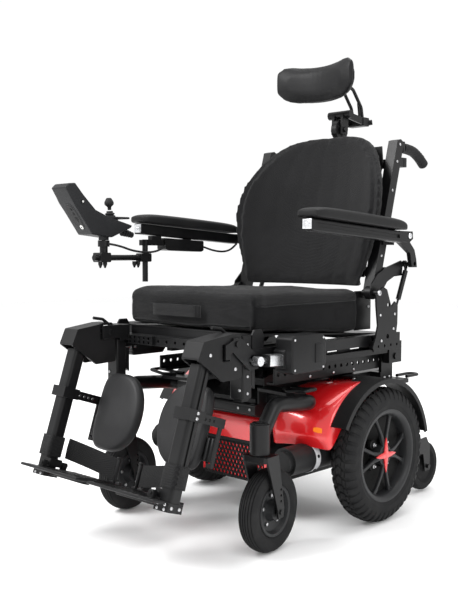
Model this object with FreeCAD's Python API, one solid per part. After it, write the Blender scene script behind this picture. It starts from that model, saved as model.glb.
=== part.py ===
import FreeCAD, Part
import math
import os

# Power wheelchair, rear-wheel drive, with power tilt, recline and leg elevation.
# Millimetres. The chair faces -Y, the user's left is +X, the floor is z = 0.
# The model is drawn with the drive axle at axle_y and moved back by origin_shift on export,
# so that the origin is under the middle of the whole chair.

V = FreeCAD.Vector

# ---- driving dimensions -------------------------------------------------------------
origin_shift = 37.6

# wheels
axle_y = 130.0
drive_radius = 178.0
drive_width = 70.0
drive_track = 304.0
drive_rim_radius = 118.0
caster_radius = 100.0
caster_width = 48.0
caster_trail = 36.0
caster_yaw = 6.0
swivel_x = 257.0
swivel_y = -288.0
tip_wheel_radius = 72.0
tip_wheel_x = 235.0
tip_wheel_y = 463.0
tip_wheel_z = 77.0

# chassis
chassis_half = 117.0
chassis_front = -94.0
chassis_rear = 186.0
chassis_floor = 100.0
chassis_top = 300.0
rail_top = 424.0
rail_bottom = 384.0

# motors
motor_x = 225.0
motor_z = 192.0
motor_radius = 36.0

# seat
tilt_y = 300.0
tilt_z = 418.0
seat_half = 228.0
seat_front = -280.0
seat_rear = 180.0
seat_top = 604.0

# back
recline_deg = 15.7
hip_y = 180.0
hip_z = 600.0
cane_x = 231.0
cane_top = 1023.0
arm_y = 250.0
arm_z = 753.0
link_y = 86.0
link_z = -76.0

# arms
arm_x = 304.0
arm_half = 36.0
arm_front = -174.0
arm_slope = 3.65

# legs
leg_x = 225.0
knee_y = -366.0
knee_z = 503.0
eye_y = -313.0
eye_z = 461.0
clevis_y = -82.0
clevis_z = 451.0
actuator_x = 272.0
shin_deg = 18.5
shin_foot_y = -553.0
shin_foot_z = 152.0
shin_length = 325.0

# tilt actuator
jack_base_y = -80.0
jack_base_z = 384.0
jack_seat_y = 220.0
jack_seat_z = 455.0



# ---- helpers ------------------------------------------------------------------------
def box(x, y, z):
    return Part.makeBox(x[1] - x[0], y[1] - y[0], z[1] - z[0], V(x[0], y[0], z[0]))


def rod(start, end, radius):
    a = V(*start)
    b = V(*end)
    return Part.makeCylinder(radius, (b - a).Length, a, b - a)


def ring(start, end, outer, inner):
    return rod(start, end, outer).cut(rod(start, end, inner))


def across(y, z, x, radius):
    """A round bar along X between the two values of x."""
    return rod((x[0], y, z), (x[1], y, z), radius)


def fuse(shapes):
    whole = shapes[0]
    for extra in shapes[1:]:
        whole = whole.fuse(extra)
    return whole.removeSplitter()


def cut(shape, tools):
    for tool in tools:
        shape = shape.cut(tool)
    return shape


def mirrored(shape):
    return shape.mirror(V(0, 0, 0), V(1, 0, 0))


def both(shape):
    return [shape, mirrored(shape)]


def plate(points, x):
    """A flat plate with its outline in the YZ plane, between the two values of x."""
    corners = [V(x[0], y, z) for y, z in points]
    face = Part.Face(Part.makePolygon(corners + corners[:1]))
    return face.extrude(V(x[1] - x[0], 0, 0))


def sheet(points, z):
    """A flat plate with its outline in the XY plane, between the two values of z."""
    corners = [V(x, y, z[0]) for x, y in points]
    face = Part.Face(Part.makePolygon(corners + corners[:1]))
    return face.extrude(V(0, 0, z[1] - z[0]))


def eased(shape, radius, along):
    """Rounds the straight edges that run in one direction."""
    axis = V(*along).normalize()
    picked = []
    for edge in shape.Edges:
        if len(edge.Vertexes) < 2 or edge.Curve.TypeId != "Part::GeomLine":
            continue
        run = edge.Vertexes[1].Point - edge.Vertexes[0].Point
        if abs(run.normalize().dot(axis)) > 0.999:
            picked.append(edge)
    return shape.makeFillet(radius, picked)


def path(points, bend):
    """Straight runs joined by tangent arcs of one bend radius."""
    knots = [V(*p) for p in points]
    edges = []
    last = knots[0]
    for before, corner, after in zip(knots, knots[1:], knots[2:]):
        back = (before - corner).normalize()
        ahead = (after - corner).normalize()
        turn = math.pi - back.getAngle(ahead)
        reach = bend * math.tan(turn / 2)
        first = corner + back * reach
        final = corner + ahead * reach
        middle_line = (back + ahead).normalize()
        middle = corner + middle_line * (bend / math.cos(turn / 2) - bend)
        edges.append(Part.LineSegment(last, first).toShape())
        edges.append(Part.Arc(first, middle, final).toShape())
        last = final
    edges.append(Part.LineSegment(last, knots[-1]).toShape())
    return Part.Wire(edges)


def bent_tube(points, bend, radius):
    wire = path(points, bend)
    start = V(*points[0])
    heading = V(*points[1]) - start
    circle = Part.Wire(Part.Circle(start, heading, radius).toShape())
    return wire.makePipe(Part.Face(circle))


def lathe(profile, centre, axis):
    """Turns an outline of (distance along the axis, radius) about the axis."""
    points = [V(0, r, s) for s, r in profile]
    face = Part.Face(Part.makePolygon(points + points[:1]))
    turned = face.revolve(V(0, 0, 0), V(0, 0, 1), 360)
    turned.Placement = FreeCAD.Placement(V(*centre), FreeCAD.Rotation(V(0, 0, 1), V(*axis)))
    return turned


def turned_by(shape, degrees, centre, axis):
    copy = shape.copy()
    copy.rotate(V(*centre), V(*axis), degrees)
    return copy


def upright(y, z, x, s):
    """A point in the leg's own frame: x across, y ahead of the shin tube, z up along it."""
    lean = math.radians(shin_deg)
    ahead = V(0, -math.cos(lean), math.sin(lean))
    up = V(0, math.sin(lean), math.cos(lean))
    foot = V(0, shin_foot_y, shin_foot_z)
    return foot + ahead * y + up * z + V(x * s, 0, 0)


def leg_box(x, ahead, up):
    """A box whose sides follow the shin tube, drawn on the left leg."""
    block = box(x, (-ahead[1], -ahead[0]), up)
    block.rotate(V(0, 0, 0), V(1, 0, 0), -shin_deg)
    block.translate(V(0, shin_foot_y, shin_foot_z))
    return block


def leg_rod(start, end, radius):
    """A round bar given by (x, ahead, up) points in the leg's own frame."""
    a = upright(start[1], start[2], start[0], 1)
    b = upright(end[1], end[2], end[0], 1)
    return rod(tuple(a), tuple(b), radius)


def cane_line(z):
    """The y of the middle of the back canes at a height."""
    return hip_y + 16.0 + (z - hip_z) * math.tan(math.radians(recline_deg))


def arm_line(y, drop):
    """The height of the armrest pad's underside at y, less a drop."""
    return 793.0 - (y + 190.0) * math.tan(math.radians(arm_slope)) - drop


def save(name, solids):
    shape = solids[0] if len(solids) == 1 else Part.makeCompound(solids)
    shape.translate(V(0, origin_shift, 0))
    for solid in shape.Solids:
        if not solid.isValid():
            print("not valid:", name)
    shape.exportStep("parts/" + name + ".step")
    print(name, len(shape.Solids), round(shape.Volume / 1000.0), "cm3")


def save_pair(name, solids):
    """A left part as drawn, and its mirror image on the right."""
    save(name + "_right", [mirrored(s) for s in solids])
    save(name + "_left", solids)


# ---- base ---------------------------------------------------------------------------
def perforated_rail():
    web = box((204, 209), (-180, 292), (rail_bottom, rail_top))
    flange = box((184, 209), (-180, 292), (rail_bottom, rail_bottom + 5))
    rail = web.fuse(flange).removeSplitter()
    pitch = 26
    holes = [across(y, 408, (200, 212), 5) for y in range(-166, 290, pitch)]
    return cut(rail, holes)


def base_frame():
    outer = box((-chassis_half, chassis_half), (chassis_front, chassis_rear), (chassis_floor, chassis_top))
    inner = box((-chassis_half + 4, chassis_half - 4), (chassis_front + 4, chassis_rear - 4),
                (chassis_floor + 4, chassis_top + 1))
    tub = outer.cut(inner)
    cheek = plate([(-112, 340), (-60, 296), (chassis_rear, 296), (chassis_rear, 402), (-60, 402), (-112, 386)],
                  (chassis_half - 4, chassis_half))
    nose = plate([(-146, 290), (-94, 280), (-90, 280), (-90, 300), (-60, 300), (-60, 322), (-146, 322)],
                 (100, 112))
    bar = eased(box((-118, 118), (-150, -118), (291, 321)), 10, (1, 0, 0))
    tower = plate([(270, 346), (326, 346), (326, 430), (314, 442), (286, 442), (270, 430)], (210, 219))
    pivot = across(tilt_y, tilt_z, (209, 250), 9)
    foot = box((150, 262), (294, 344), (340, 352))
    side = box((150, 184), (chassis_rear, 344), (352, 372))
    rear_link = box((140, 219), (266, 292), (352, 372))
    outriggers = [box((chassis_half - 2, 206), (y, y + 28), (386, 402)) for y in (-60, 156)]
    jack_ear = plate([(-112, 366), (-66, 366), (-62, 384), (-70, 400), (-92, 402), (-112, 386)], (20, 26))
    halves = [cheek, nose, tower, pivot, foot, side, rear_link, perforated_rail(), jack_ear] + outriggers
    pieces = [tub, bar]
    for part in halves:
        pieces += both(part)
    pieces.append(box((-184, 184), (179, chassis_rear), (352, 386)))
    pieces.append(box((-chassis_half, chassis_half), (-112, -99), (366, 384)))
    return fuse(pieces).cut(across(jack_base_y, jack_base_z, (-30, 30), 6.05))


def batteries():
    half = 104.0
    front = eased(box((-half, half), (-84, 42), (106, 286)), 6, (0, 0, 1))
    rear = eased(box((-half, half), (48, 174), (106, 286)), 6, (0, 0, 1))
    return [front, rear]


def front_grille():
    panel = plate([(-101, 104), (-95, 104), (-95, 210), (-101, 210)], (-chassis_half, chassis_half))
    pitch_x = 18.0
    pitch_z = 15.6
    cells = []
    for row in range(5):
        for column in range(9):
            x = -76 + column * pitch_x + (row % 2) * pitch_x / 2
            z = 124 + row * pitch_z
            cells.append(rod((x, -104, z), (x, -98, z), 5.5))
    return cut(panel, cells)


def shroud_outline(x, lip, nose, shoulder, crown, wall):
    """One closed cross-section of the side shroud at x, a strip that is wall thick."""
    points = [lip, nose, shoulder, crown, (120.0, crown[1] + 4.0), (178.0, crown[1] + 4.0)]
    outer = [V(x, y, z) for y, z in points]
    inner = [V(x, y + wall, z - wall * 0.4) for y, z in points[:-2]]
    inner += [V(x, y, z - wall) for y, z in points[-2:]]
    inner[0] = V(x, points[0][0] + wall, points[0][1])
    inner[3] = V(x, points[3][0] + wall * 0.6, points[3][1] - wall)
    return Part.makePolygon(outer + inner[::-1] + outer[:1])


def red_shrouds():
    wall = 4.0
    rows = [
        shroud_outline(120, (-100, 214), (-101, 258), (-76, 322), (10, 358), wall),
        shroud_outline(180, (-94, 222), (-106, 262), (-76, 326), (10, 364), wall),
        shroud_outline(240, (-84, 220), (-98, 258), (-66, 324), (20, 368), wall),
        shroud_outline(296, (-66, 215), (-72, 256), (-46, 310), (36, 371), wall),
    ]
    side = Part.makeLoft(rows, True, True)
    under_fender = across(axle_y - 14, drive_radius - 5, (261, 300), 208.6)
    motor_arch = rod((motor_x, -120, motor_z), (motor_x, 60, motor_z), motor_radius + 4)
    strut_slot = box((117, 213), (-115, -60), (319, 349))
    side = cut(side, [under_fender, motor_arch, arm_tube(22), strut_slot])
    band = plate([(-101, 211), (-95, 211), (-95, 262), (-95, 276), (-99, 272), (-101, 262)], (-118, 118))
    return both(side) + [band]


def fenders():
    centre_y = axle_y - 14
    centre_z = drive_radius - 5
    outer = 208.0
    shell = ring((262, centre_y, centre_z), (340, centre_y, centre_z), outer, outer - 4)
    lip = ring((335, centre_y, centre_z), (340, centre_y, centre_z), outer, outer - 12)
    arch = shell.fuse(lip).removeSplitter()
    reach = 400.0
    start = math.radians(12)
    end = math.radians(150)
    sector = [(centre_y, centre_z)]
    for step in range(7):
        angle = start + (end - start) * step / 6
        sector.append((centre_y + reach * math.cos(angle), centre_z + reach * math.sin(angle)))
    arch = arch.common(plate(sector, (250, 350)))
    stay = box((210, 264), (96, 136), (377, 381))
    return both(arch.fuse(stay).removeSplitter())


def drive_motors():
    x = motor_x
    z = motor_z
    body = rod((x, -160, z), (x, 62, z), motor_radius)
    band = rod((x, -82, z), (x, -62, z), motor_radius + 2)
    cap = rod((x, -172, z), (x, -158, z), motor_radius - 8)
    gearbox = eased(box((184, 260), (60, 172), (142, 242)), 10, (1, 0, 0))
    shaft = rod((250, axle_y, drive_radius), (318, axle_y, drive_radius), 12)
    flange = rod((258, axle_y, drive_radius), (266, axle_y, drive_radius), 42)
    web = box((118, 190), (70, 160), (150, 160))
    return both(fuse([body, band, cap, gearbox, shaft, flange, web]))


def deck_cover():
    outline = [(-142, 323), (-142, 334), (-66, 362), (168, 362), (168, 302), (-56, 302), (-56, 323)]
    outer = plate(outline, (-112, 112))
    hollow = box((-108, 108), (-52, 164), (298, 358))
    return outer.cut(hollow)


def wire_loop(points, bend):
    return bent_tube(points, bend, 4.5)


def tie_down_loops():
    z = 368.6
    front = wire_loop([(196, -100, z), (230, -102, z), (284, -110, z + 6), (284, -148, z + 6),
                       (226, -152, z), (196, -130, z)], 10)
    rear = wire_loop([(225, 340, 357), (225, 405, 357), (257, 405, 357), (257, 340, 357)], 12)
    return both(front) + both(rear)


def antitip_arms():
    cross = eased(box((-228, 228), (192, 222), (146, 172)), 5, (1, 0, 0))
    bridge = box((80, 110), (186, 196), (120, 176))
    z = tip_wheel_z
    y = tip_wheel_y
    outline = [(192, 146), (222, 172), (360, 158), (y - 6, z + 88), (y + 12, z + 60), (y + 12, z - 12),
               (y - 14, z - 12), (y - 24, z + 40), (340, 128)]
    inner = plate(outline, (214, 219))
    outer = plate(outline, (251, 256))
    tie = box((214, 256), (192, 222), (146, 172))
    stop = box((214, 256), (350, 360), (130, 156))
    axle = across(y, z, (208, 262), 6)
    pieces = [cross] + both(bridge) + both(inner) + both(outer) + both(tie) + both(stop) + both(axle)
    return [fuse(pieces)]


def arm_tube(radius):
    """The bent tube from the chassis out to the caster's swivel barrel."""
    points = [(200, -62, 330), (257, -101, 338), (257, -236, 349), (257, swivel_y + 6, 286)]
    return bent_tube(points, 34, radius)


def caster_arms():
    tube = arm_tube(19)
    barrel = rod((swivel_x, swivel_y, 240), (swivel_x, swivel_y, 311), 24)
    crown = rod((swivel_x, swivel_y, 309), (swivel_x, swivel_y, 314), 19)
    strut = box((117.5, 210), (-112, -84), (322, 346))
    bracket = sheet([(117.5, -140), (226, -156), (240, -140), (240, -96), (117.5, -90)], (356, 364))
    rib = plate([(-140, 322), (-96, 322), (-96, 360), (-140, 360)], (117.5, 123))
    arm = fuse([tube, barrel, crown, strut, bracket, rib])
    bore = rod((swivel_x, swivel_y, 230), (swivel_x, swivel_y, 306), 12.05)
    return both(arm.cut(bore))


# ---- wheels -------------------------------------------------------------------------
def drive_tyre(x):
    w = drive_width / 2
    r = drive_rim_radius
    profile = [(-w + 6, r), (-w + 2, r + 14), (-w, r + 34), (-w + 5, drive_radius - 12), (-w + 14, drive_radius - 3),
               (0, drive_radius), (w - 14, drive_radius - 3), (w - 5, drive_radius - 12), (w, r + 34),
               (w - 2, r + 14), (w - 6, r)]
    return lathe(profile, (x, axle_y, drive_radius), (1, 0, 0))


def drive_rim(x):
    """Barrel, paired spokes and hub; the outer side is towards +X."""
    r = drive_rim_radius
    w = drive_width / 2
    centre = (x, axle_y, drive_radius)
    barrel = lathe([(-w + 4, r), (-w + 4, r - 8), (-w + 12, r - 14), (w - 12, r - 14), (w - 4, r - 6),
                    (w - 4, r)], centre, (1, 0, 0))
    hub = rod((x - 24, axle_y, drive_radius), (x + 26, axle_y, drive_radius), 30)
    pieces = [barrel, hub]
    for number in range(8):
        spread = 10.0 if number % 2 else -10.0
        spoke = box((x + 8, x + 18), (axle_y - 6, axle_y + 6), (drive_radius + 24, drive_radius + r - 10))
        pieces.append(turned_by(spoke, number // 2 * 90.0 + spread, centre, (1, 0, 0)))
    back = ring((x - 20, axle_y, drive_radius), (x - 16, axle_y, drive_radius), 62, 12.06)
    pieces.append(back)
    bore = rod((x - 40, axle_y, drive_radius), (x + 14.5, axle_y, drive_radius), 12.06)
    return fuse(pieces).cut(bore)


def caster_parts(side):
    """Fork, tyre and rim of one caster, trailing, turned a little about its stem."""
    x = swivel_x
    wheel_y = swivel_y + caster_trail
    w = caster_width / 2
    stem = rod((x, swivel_y, 226), (x, swivel_y, 300), 12)
    crown = eased(box((x - 36, x + 36), (swivel_y - 24, swivel_y + 28), (224, 238)), 10, (0, 0, 1))
    leg = plate([(swivel_y - 22, 238), (swivel_y + 26, 238), (wheel_y + 14, caster_radius + 8),
                 (wheel_y + 10, caster_radius - 14), (wheel_y - 10, caster_radius - 14),
                 (wheel_y - 14, caster_radius + 8)], (x + 31, x + 36))
    leg = cut(leg, [across(wheel_y, caster_radius + 26 + 14 * n, (x + 20, x + 40), 3) for n in range(3)])
    other = leg.mirror(V(x, 0, 0), V(1, 0, 0))
    axle = across(wheel_y, caster_radius, (x - 39, x + 39), 6)
    fork = fuse([stem, crown, leg, other, axle])
    centre = (x, wheel_y, caster_radius)
    r = 62.0
    tyre = lathe([(-w + 5, r), (-w + 1, r + 10), (-w, caster_radius - 16), (-w + 8, caster_radius - 3),
                  (0, caster_radius), (w - 8, caster_radius - 3), (w, caster_radius - 16), (w - 1, r + 10),
                  (w - 5, r)], centre, (1, 0, 0))
    rim = lathe([(-w + 4, r), (-w + 4, r - 8), (-6, r - 14), (-6, 22), (-w - 1, 22), (-w - 1, 6.06),
                 (w + 1, 6.06), (w + 1, 22), (6, 22), (6, r - 14), (w - 4, r - 8), (w - 4, r)],
                centre, (1, 0, 0))
    parts = [turned_by(p, caster_yaw, (x, swivel_y, 0), (0, 0, 1)) for p in (fork, tyre, rim)]
    if side == "right":
        straight = [mirrored(p) for p in (fork, tyre, rim)]
        parts = [turned_by(p, caster_yaw, (-x, swivel_y, 0), (0, 0, 1)) for p in straight]
    return parts


def antitip_wheel():
    r = tip_wheel_radius
    profile = [(-14, 6.06), (-14, r - 10), (-10, r - 2), (0, r), (10, r - 2), (14, r - 10), (14, 6.06)]
    return lathe(profile, (tip_wheel_x, tip_wheel_y, tip_wheel_z), (1, 0, 0))


# ---- seat ---------------------------------------------------------------------------
def seat_rail():
    """One side of the seat frame: an upper and a lower rail with a web, and its rear pivot block."""
    upper = box((222, 248), (-303, 318), (457, 485))
    lower = box((226, 244), (-120, 262), (430, 446))
    web = box((222, 226), (-120, 318), (430, 460))
    block = plate([(268, 400), (330, 400), (330, 460), (268, 460)], (224, 246))
    rail = fuse([upper, lower, web, block])
    slots = [box((216, 232), (y, y + 46), (450, 455)) for y in (-90, 10, 110)]
    bore = across(tilt_y, tilt_z, (215, 252), 9.06)
    return cut(rail, slots + [bore])


def seat_frame():
    rear_bar = box((-222, 222), (286, 308), (462, 482))
    rear_bar = rear_bar.cut(box((-26, 26), (280, 312), (455, 490)))
    front_bar = box((-222, 222), (-302, -280), (468, 494))
    holes = [rod((x, -306, 481), (x, -276, 481), 4) for x in range(-80, 100, 32)]
    front_bar = cut(front_bar, holes)
    riser = box((-204, 204), (-284, -280), (492, 516))
    socket = box((-188, -92), (-312, -301), (470, 493))
    sockets = [rod((x, -316, z), (x, -306, z), 4) for x in range(-178, -96, 18) for z in (476, 487)]
    socket = cut(socket, sockets)
    pan = plate([(-286, 514), (-286, 518), (300, 482), (300, 478)], (-216, 216))
    jack_ears = both(plate([(200, 434), (240, 434), (246, 484), (194, 484)], (21, 27)))
    jack_strap = box((-27, 27), (194, 246), (476, 486))
    cross = box((-222, 222), (243, 257), (462, 480))
    clevis = plate([(clevis_y - 14, clevis_z - 16), (clevis_y + 14, clevis_z - 16), (clevis_y + 14, clevis_z + 16),
                    (clevis_y - 14, clevis_z + 16)], (246, 258))
    pin = across(clevis_y, clevis_z, (250, 290), 6)
    rails = both(seat_rail())
    pieces = [front_bar, rear_bar, riser, socket, pan, cross, jack_strap] + jack_ears
    pieces += rails + both(clevis) + both(pin)
    tab = plate([(-302, 484), (-262, 484), (-262, 518), (-270, 530), (-294, 530), (-302, 518)], (240, 245))
    pieces += both(tab)
    frame = fuse(pieces)
    pin_room = across(jack_seat_y, jack_seat_z, (-40, 40), 14.0)
    eye_room = across(jack_seat_y, jack_seat_z, (-20, 20), 20.0)
    return [cut(frame, [pin_room, eye_room])]


def seat_cushion():
    outline = [(seat_front, 524), (seat_front, seat_top - 12), (seat_front + 14, seat_top), (seat_rear, seat_top),
               (seat_rear, 491), (100, 497)]
    block = eased(plate(outline, (-seat_half, seat_half)), 12, (1, 0, 0))
    notch = box((213, 232), (158, 190), (480, 610))
    return cut(block, both(notch))


def hanger_posts():
    post = eased(box((204, 246), (-335, -303), (372, 519)), 5, (0, 0, 1))
    ear = box((190, 204), (-335, -303), (478, 519))
    ear = fuse([ear, box((190, 196), (-392, -330), (486, 520))])
    pin = across(knee_y, knee_z, (188, 262), 7)
    bracket = plate([(-303, 400), (-292, 392), (-292, 455), (-303, 455)], (206, 244))
    foot = box((212, 238), (-330, -306), (364, 373))
    return both(fuse([post, ear, pin, bracket, foot]))


def back_brackets():
    x = (265.0, 270.0)
    outline = [(182, 607), (166, 596), (168, 566), (176, 512), (166, 480), (152, 453), (158, 443), (274, 443),
               (278, 456), (264, 486), (270, 512), (271, 562), (258, 574), (240, 560), (218, 608), (200, 616)]
    body = plate(outline, x)
    holes = [across(y, 456, (260, 275), 4) for y in (178, 208, 238, 268)]
    holes += [across(222, 480, (260, 275), 7), across(226, 566, (260, 275), 6)]
    body = cut(body, holes)
    spacer = box((248, 266), (168, 272), (446, 470))
    spacer = spacer.fuse(box((248, 252), (168, 272), (446, 484)))
    pin = across(hip_y, hip_z, (217, 268), 8)
    link_pin = across(hip_y + link_y, hip_z + link_z, (252, 268), 5)
    return both(fuse([body, spacer, pin, link_pin]))


def unit(start, end):
    return (V(*end) - V(*start)).normalize()


def tilt_actuator():
    base = (0, jack_base_y, jack_base_z)
    top = (0, jack_seat_y, jack_seat_z)
    run = unit(base, top)
    start = V(*base)
    eye = across(jack_base_y, jack_base_z, (-10, 10), 16)
    tube = rod(tuple(start + run * 8), tuple(start + run * 205), 19)
    motor = rod(tuple(start + run * 20 + V(46, 0, 6)), tuple(start + run * 130 + V(46, 0, 6)), 21)
    gear = box((-18, 68), (-16, 16), (-20, 20))
    gear.rotate(V(0, 0, 0), V(1, 0, 0), math.degrees(math.atan2(run.z, run.y)))
    gear.translate(start + run * 52)
    body = fuse([eye, tube, motor, gear])
    bore = rod(tuple(start + run * 60), tuple(start + run * 210), 12)
    hole = across(jack_base_y, jack_base_z, (-20, 20), 6.1)
    return [body.cut(bore).cut(hole), across(jack_base_y, jack_base_z, (-29, 29), 6)]


def tilt_rod():
    base = (0, jack_base_y, jack_base_z)
    top = (0, jack_seat_y, jack_seat_z)
    run = unit(base, top)
    end = V(*top)
    bar = rod(tuple(end - run * 190), tuple(end), 11.5)
    eye = across(jack_seat_y, jack_seat_z, (-14, 14), 14)
    pin = across(jack_seat_y, jack_seat_z, (-30, 30), 6)
    return [fuse([bar, eye, pin])]


def power_module():
    case = eased(box((100, 188), (-130, 40), (432, 470)), 8, (0, 0, 1))
    plug = box((116, 172), (-142, -130), (440, 462))
    hanger = box((120, 168), (-60, 0), (470, 488))
    return [fuse([case, plug, hanger])]


# ---- legs ---------------------------------------------------------------------------
def knee_housing():
    outline = [(-466, 515), (-380, 526), (-349, 526), (-345, 510), (-345, 424), (-408, 421), (-456, 456),
               (-484, 476)]
    outer = plate(outline, (198, 252))
    outer = eased(outer, 6, (1, 0, 0))
    hollow = plate([(-460, 509), (-380, 520), (-338, 520), (-338, 410), (-410, 410), (-470, 440), (-496, 465),
                    (-478, 479)], (204, 246))
    relief = box((180, 205), (-394, -338), (484, 530))
    window = box((245, 253), (-408, -384), (466, 504))
    pin_hole = across(knee_y, knee_z, (190, 258), 7.06)
    lever = bent_tube([(214, -356, 522), (214, -374, 535), (214, -404, 540)], 8, 4)
    return cut(outer, [hollow, relief, window, pin_hole]).fuse(lever).removeSplitter()


def leg_tube():
    """Shin tube with its crank and foot block."""
    tube = eased(leg_box((206, 244), (-18, 18), (6, shin_length)), 9, (0, math.sin(math.radians(shin_deg)),
                                                                       math.cos(math.radians(shin_deg))))
    groove = leg_box((241, 250), (-3, 3), (90, shin_length))
    tube = tube.cut(groove)
    crank = plate([(knee_y - 12, knee_z + 14), (knee_y + 14, knee_z + 12), (eye_y + 22, eye_z + 6),
                   (eye_y + 18, eye_z - 20), (eye_y - 12, eye_z - 22), (knee_y - 16, knee_z - 16)], (253, 258))
    crank = crank.cut(across(eye_y, eye_z, (250, 262), 13))
    web = plate([(-452, 452), (-440, 500), (-392, 508), (-392, 440), (-440, 436)], (210, 240))
    tie = box((240, 258), (-404, -388), (470, 500))
    flap = plate([(-404, 470), (-404, 502), (knee_y - 10, knee_z + 10), (knee_y - 10, knee_z - 14)], (253, 258))
    block = leg_box((203, 247), (-22, 22), (2, 22))
    lug = leg_box((193, 212), (-18, 18), (28, 47))
    pin = leg_rod((200, -40, 35), (200, 40, 35), 5)
    leg = fuse([tube, crank, web, tie, flap, block, lug, pin])
    return leg.cut(across(knee_y, knee_z, (180, 262), 7.06))


def footplate():
    main = leg_box((20, 198), (-74, 66), (17, 24))
    main = eased(main, 3, (1, 0, 0))
    nose = leg_box((196, 244), (30, 66), (17, 24))
    hinge_front = leg_box((193, 207), (24, 38), (17, 42))
    hinge_rear = leg_box((193, 207), (-38, -24), (17, 42))
    rib = leg_box((60, 200), (-10, 10), (8, 18))
    post = leg_rod((40, -68, 20), (40, -66, 84), 5)
    board = fuse([main, nose, hinge_front, hinge_rear, rib, post])
    board = board.cut(leg_rod((200, -45, 35), (200, 45, 35), 5.06))
    strap_outer = [upright(a, u, x, 1) for x, a, u in ((46, -70, 30), (46, -66, 30), (198, -27, 52),
                                                        (198, -31, 52))]
    strap_top = [upright(a, u, x, 1) for x, a, u in ((46, -70, 82), (46, -66, 82), (198, -27, 104),
                                                      (198, -31, 104))]
    low = Part.makePolygon(strap_outer + strap_outer[:1])
    high = Part.makePolygon(strap_top + strap_top[:1])
    strap = Part.makeLoft([low, high], True, True)
    return [board, strap]


def calf_pad():
    """Clamp bar's hinge leaf and the D-shaped pad, flat side outboard."""
    low = 92.0
    high = 294.0
    hinge = 150.0
    middle = (low + high) / 2
    face = 80.0
    inner = 36.0
    outer = 196.0
    points = [V(outer, face, low + 10), V(outer, face, high - 10)]
    arc_top = V(outer - 30, face, high)
    arc_side = V(inner, face, middle)
    arc_low = V(outer - 30, face, low)
    edges = [Part.LineSegment(points[0], points[1]).toShape(),
             Part.LineSegment(points[1], arc_top).toShape(),
             Part.Arc(arc_top, arc_side, arc_low).toShape(),
             Part.LineSegment(arc_low, points[0]).toShape()]
    pad = Part.Face(Part.Wire(edges)).extrude(V(0, 34, 0))
    shell = box((120, 204), (face + 34, face + 38), (hinge - 27, hinge + 27))
    leaf = box((198, 206), (face + 20, face + 38), (hinge - 27, hinge + 27))
    solids = [pad, fuse([shell, leaf])]
    for solid in solids:
        solid.rotate(V(0, 0, 0), V(1, 0, 0), -shin_deg)
        solid.translate(V(0, shin_foot_y, shin_foot_z))
    barrel = leg_rod((212, -face - 29, hinge - 27), (212, -face - 29, hinge + 27), 6.5)
    lug = leg_box((204, 212), (-face - 34, -face - 24), (hinge - 27, hinge + 27))
    bore = leg_rod((212, -face - 29, hinge - 50), (212, -face - 29, hinge + 50), 4.06)
    solids[1] = fuse([solids[1], barrel, lug]).cut(bore)
    return solids


def calf_clamp():
    """Clamp round the shin tube with the bar that carries the calf pad."""
    low = 201.0
    high = 227.0
    collar = leg_box((200, 250), (-24, 24), (low, high)).cut(leg_box((206, 244), (-18, 18), (low - 5, high + 5)))
    bar = leg_box((216, 224), (-120, -22), (low + 2, high - 2))
    holes = [leg_rod((210, -a, 214), (230, -a, 214), 3.5) for a in (40, 54, 68, 82)]
    bar = cut(bar, holes)
    post = leg_rod((212, -109, 112), (212, -109, 206), 4)
    foot = leg_box((208, 224), (-114, -104), (203, 225))
    heel = leg_box((208, 224), (-114, -104), (110, 120))
    brace = leg_box((219, 224), (-114, -104), (110, 206))
    return fuse([collar, bar, post, foot, heel, brace])


def leg_actuator():
    back = V(actuator_x, clevis_y, clevis_z)
    front = V(actuator_x, eye_y, eye_z)
    run = (front - back).normalize()
    tube = rod(tuple(back + run * 100), tuple(back + run * 208), 14.5)
    case = plate([(-236, 427), (-236, 512), (-228, 516), (-118, 516), (-107, 500), (-107, 440), (-118, 423),
                  (-228, 423)], (258, 312))
    case = eased(case, 5, (1, 0, 0))
    neck = plate([(-112, 440), (clevis_y, 440), (clevis_y, 462), (-112, 462)], (264, 280))
    eye = across(clevis_y, clevis_z, (262, 284), 13)
    body = fuse([tube, case, neck, eye])
    bore = rod(tuple(back + run * 60), tuple(back + run * 215), 7.5)
    return body.cut(bore).cut(across(clevis_y, clevis_z, (255, 292), 6.06))


def leg_rod_part():
    back = V(actuator_x, clevis_y, clevis_z)
    front = V(actuator_x, eye_y, eye_z)
    run = (front - back).normalize()
    bar = rod(tuple(back + run * 66), tuple(front - run * 4), 7)
    eye = across(eye_y, eye_z, (262, 282), 11)
    pin = across(eye_y, eye_z, (249.5, 284), 4)
    return fuse([bar, eye, pin])


# ---- back ---------------------------------------------------------------------------
def cane():
    low = 586.0
    half_depth = 16.0
    points = [(cane_line(low) - half_depth, low), (cane_line(cane_top) - half_depth, cane_top - 4),
              (cane_line(cane_top), cane_top), (cane_line(cane_top) + half_depth, cane_top - 8),
              (cane_line(low) + half_depth, low)]
    return plate(points, (cane_x - 15, cane_x + 15))


def rigidizer(z, gap):
    """A bar behind both canes that carries the back shell."""
    y = cane_line(z) + 16
    bar = box((-246, 246), (y + gap, y + gap + 12), (z - 13, z + 13))
    tabs = both(box((217, 245), (y - 6, y + gap + 6), (z - 13, z + 13)))
    return [bar] + tabs


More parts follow.
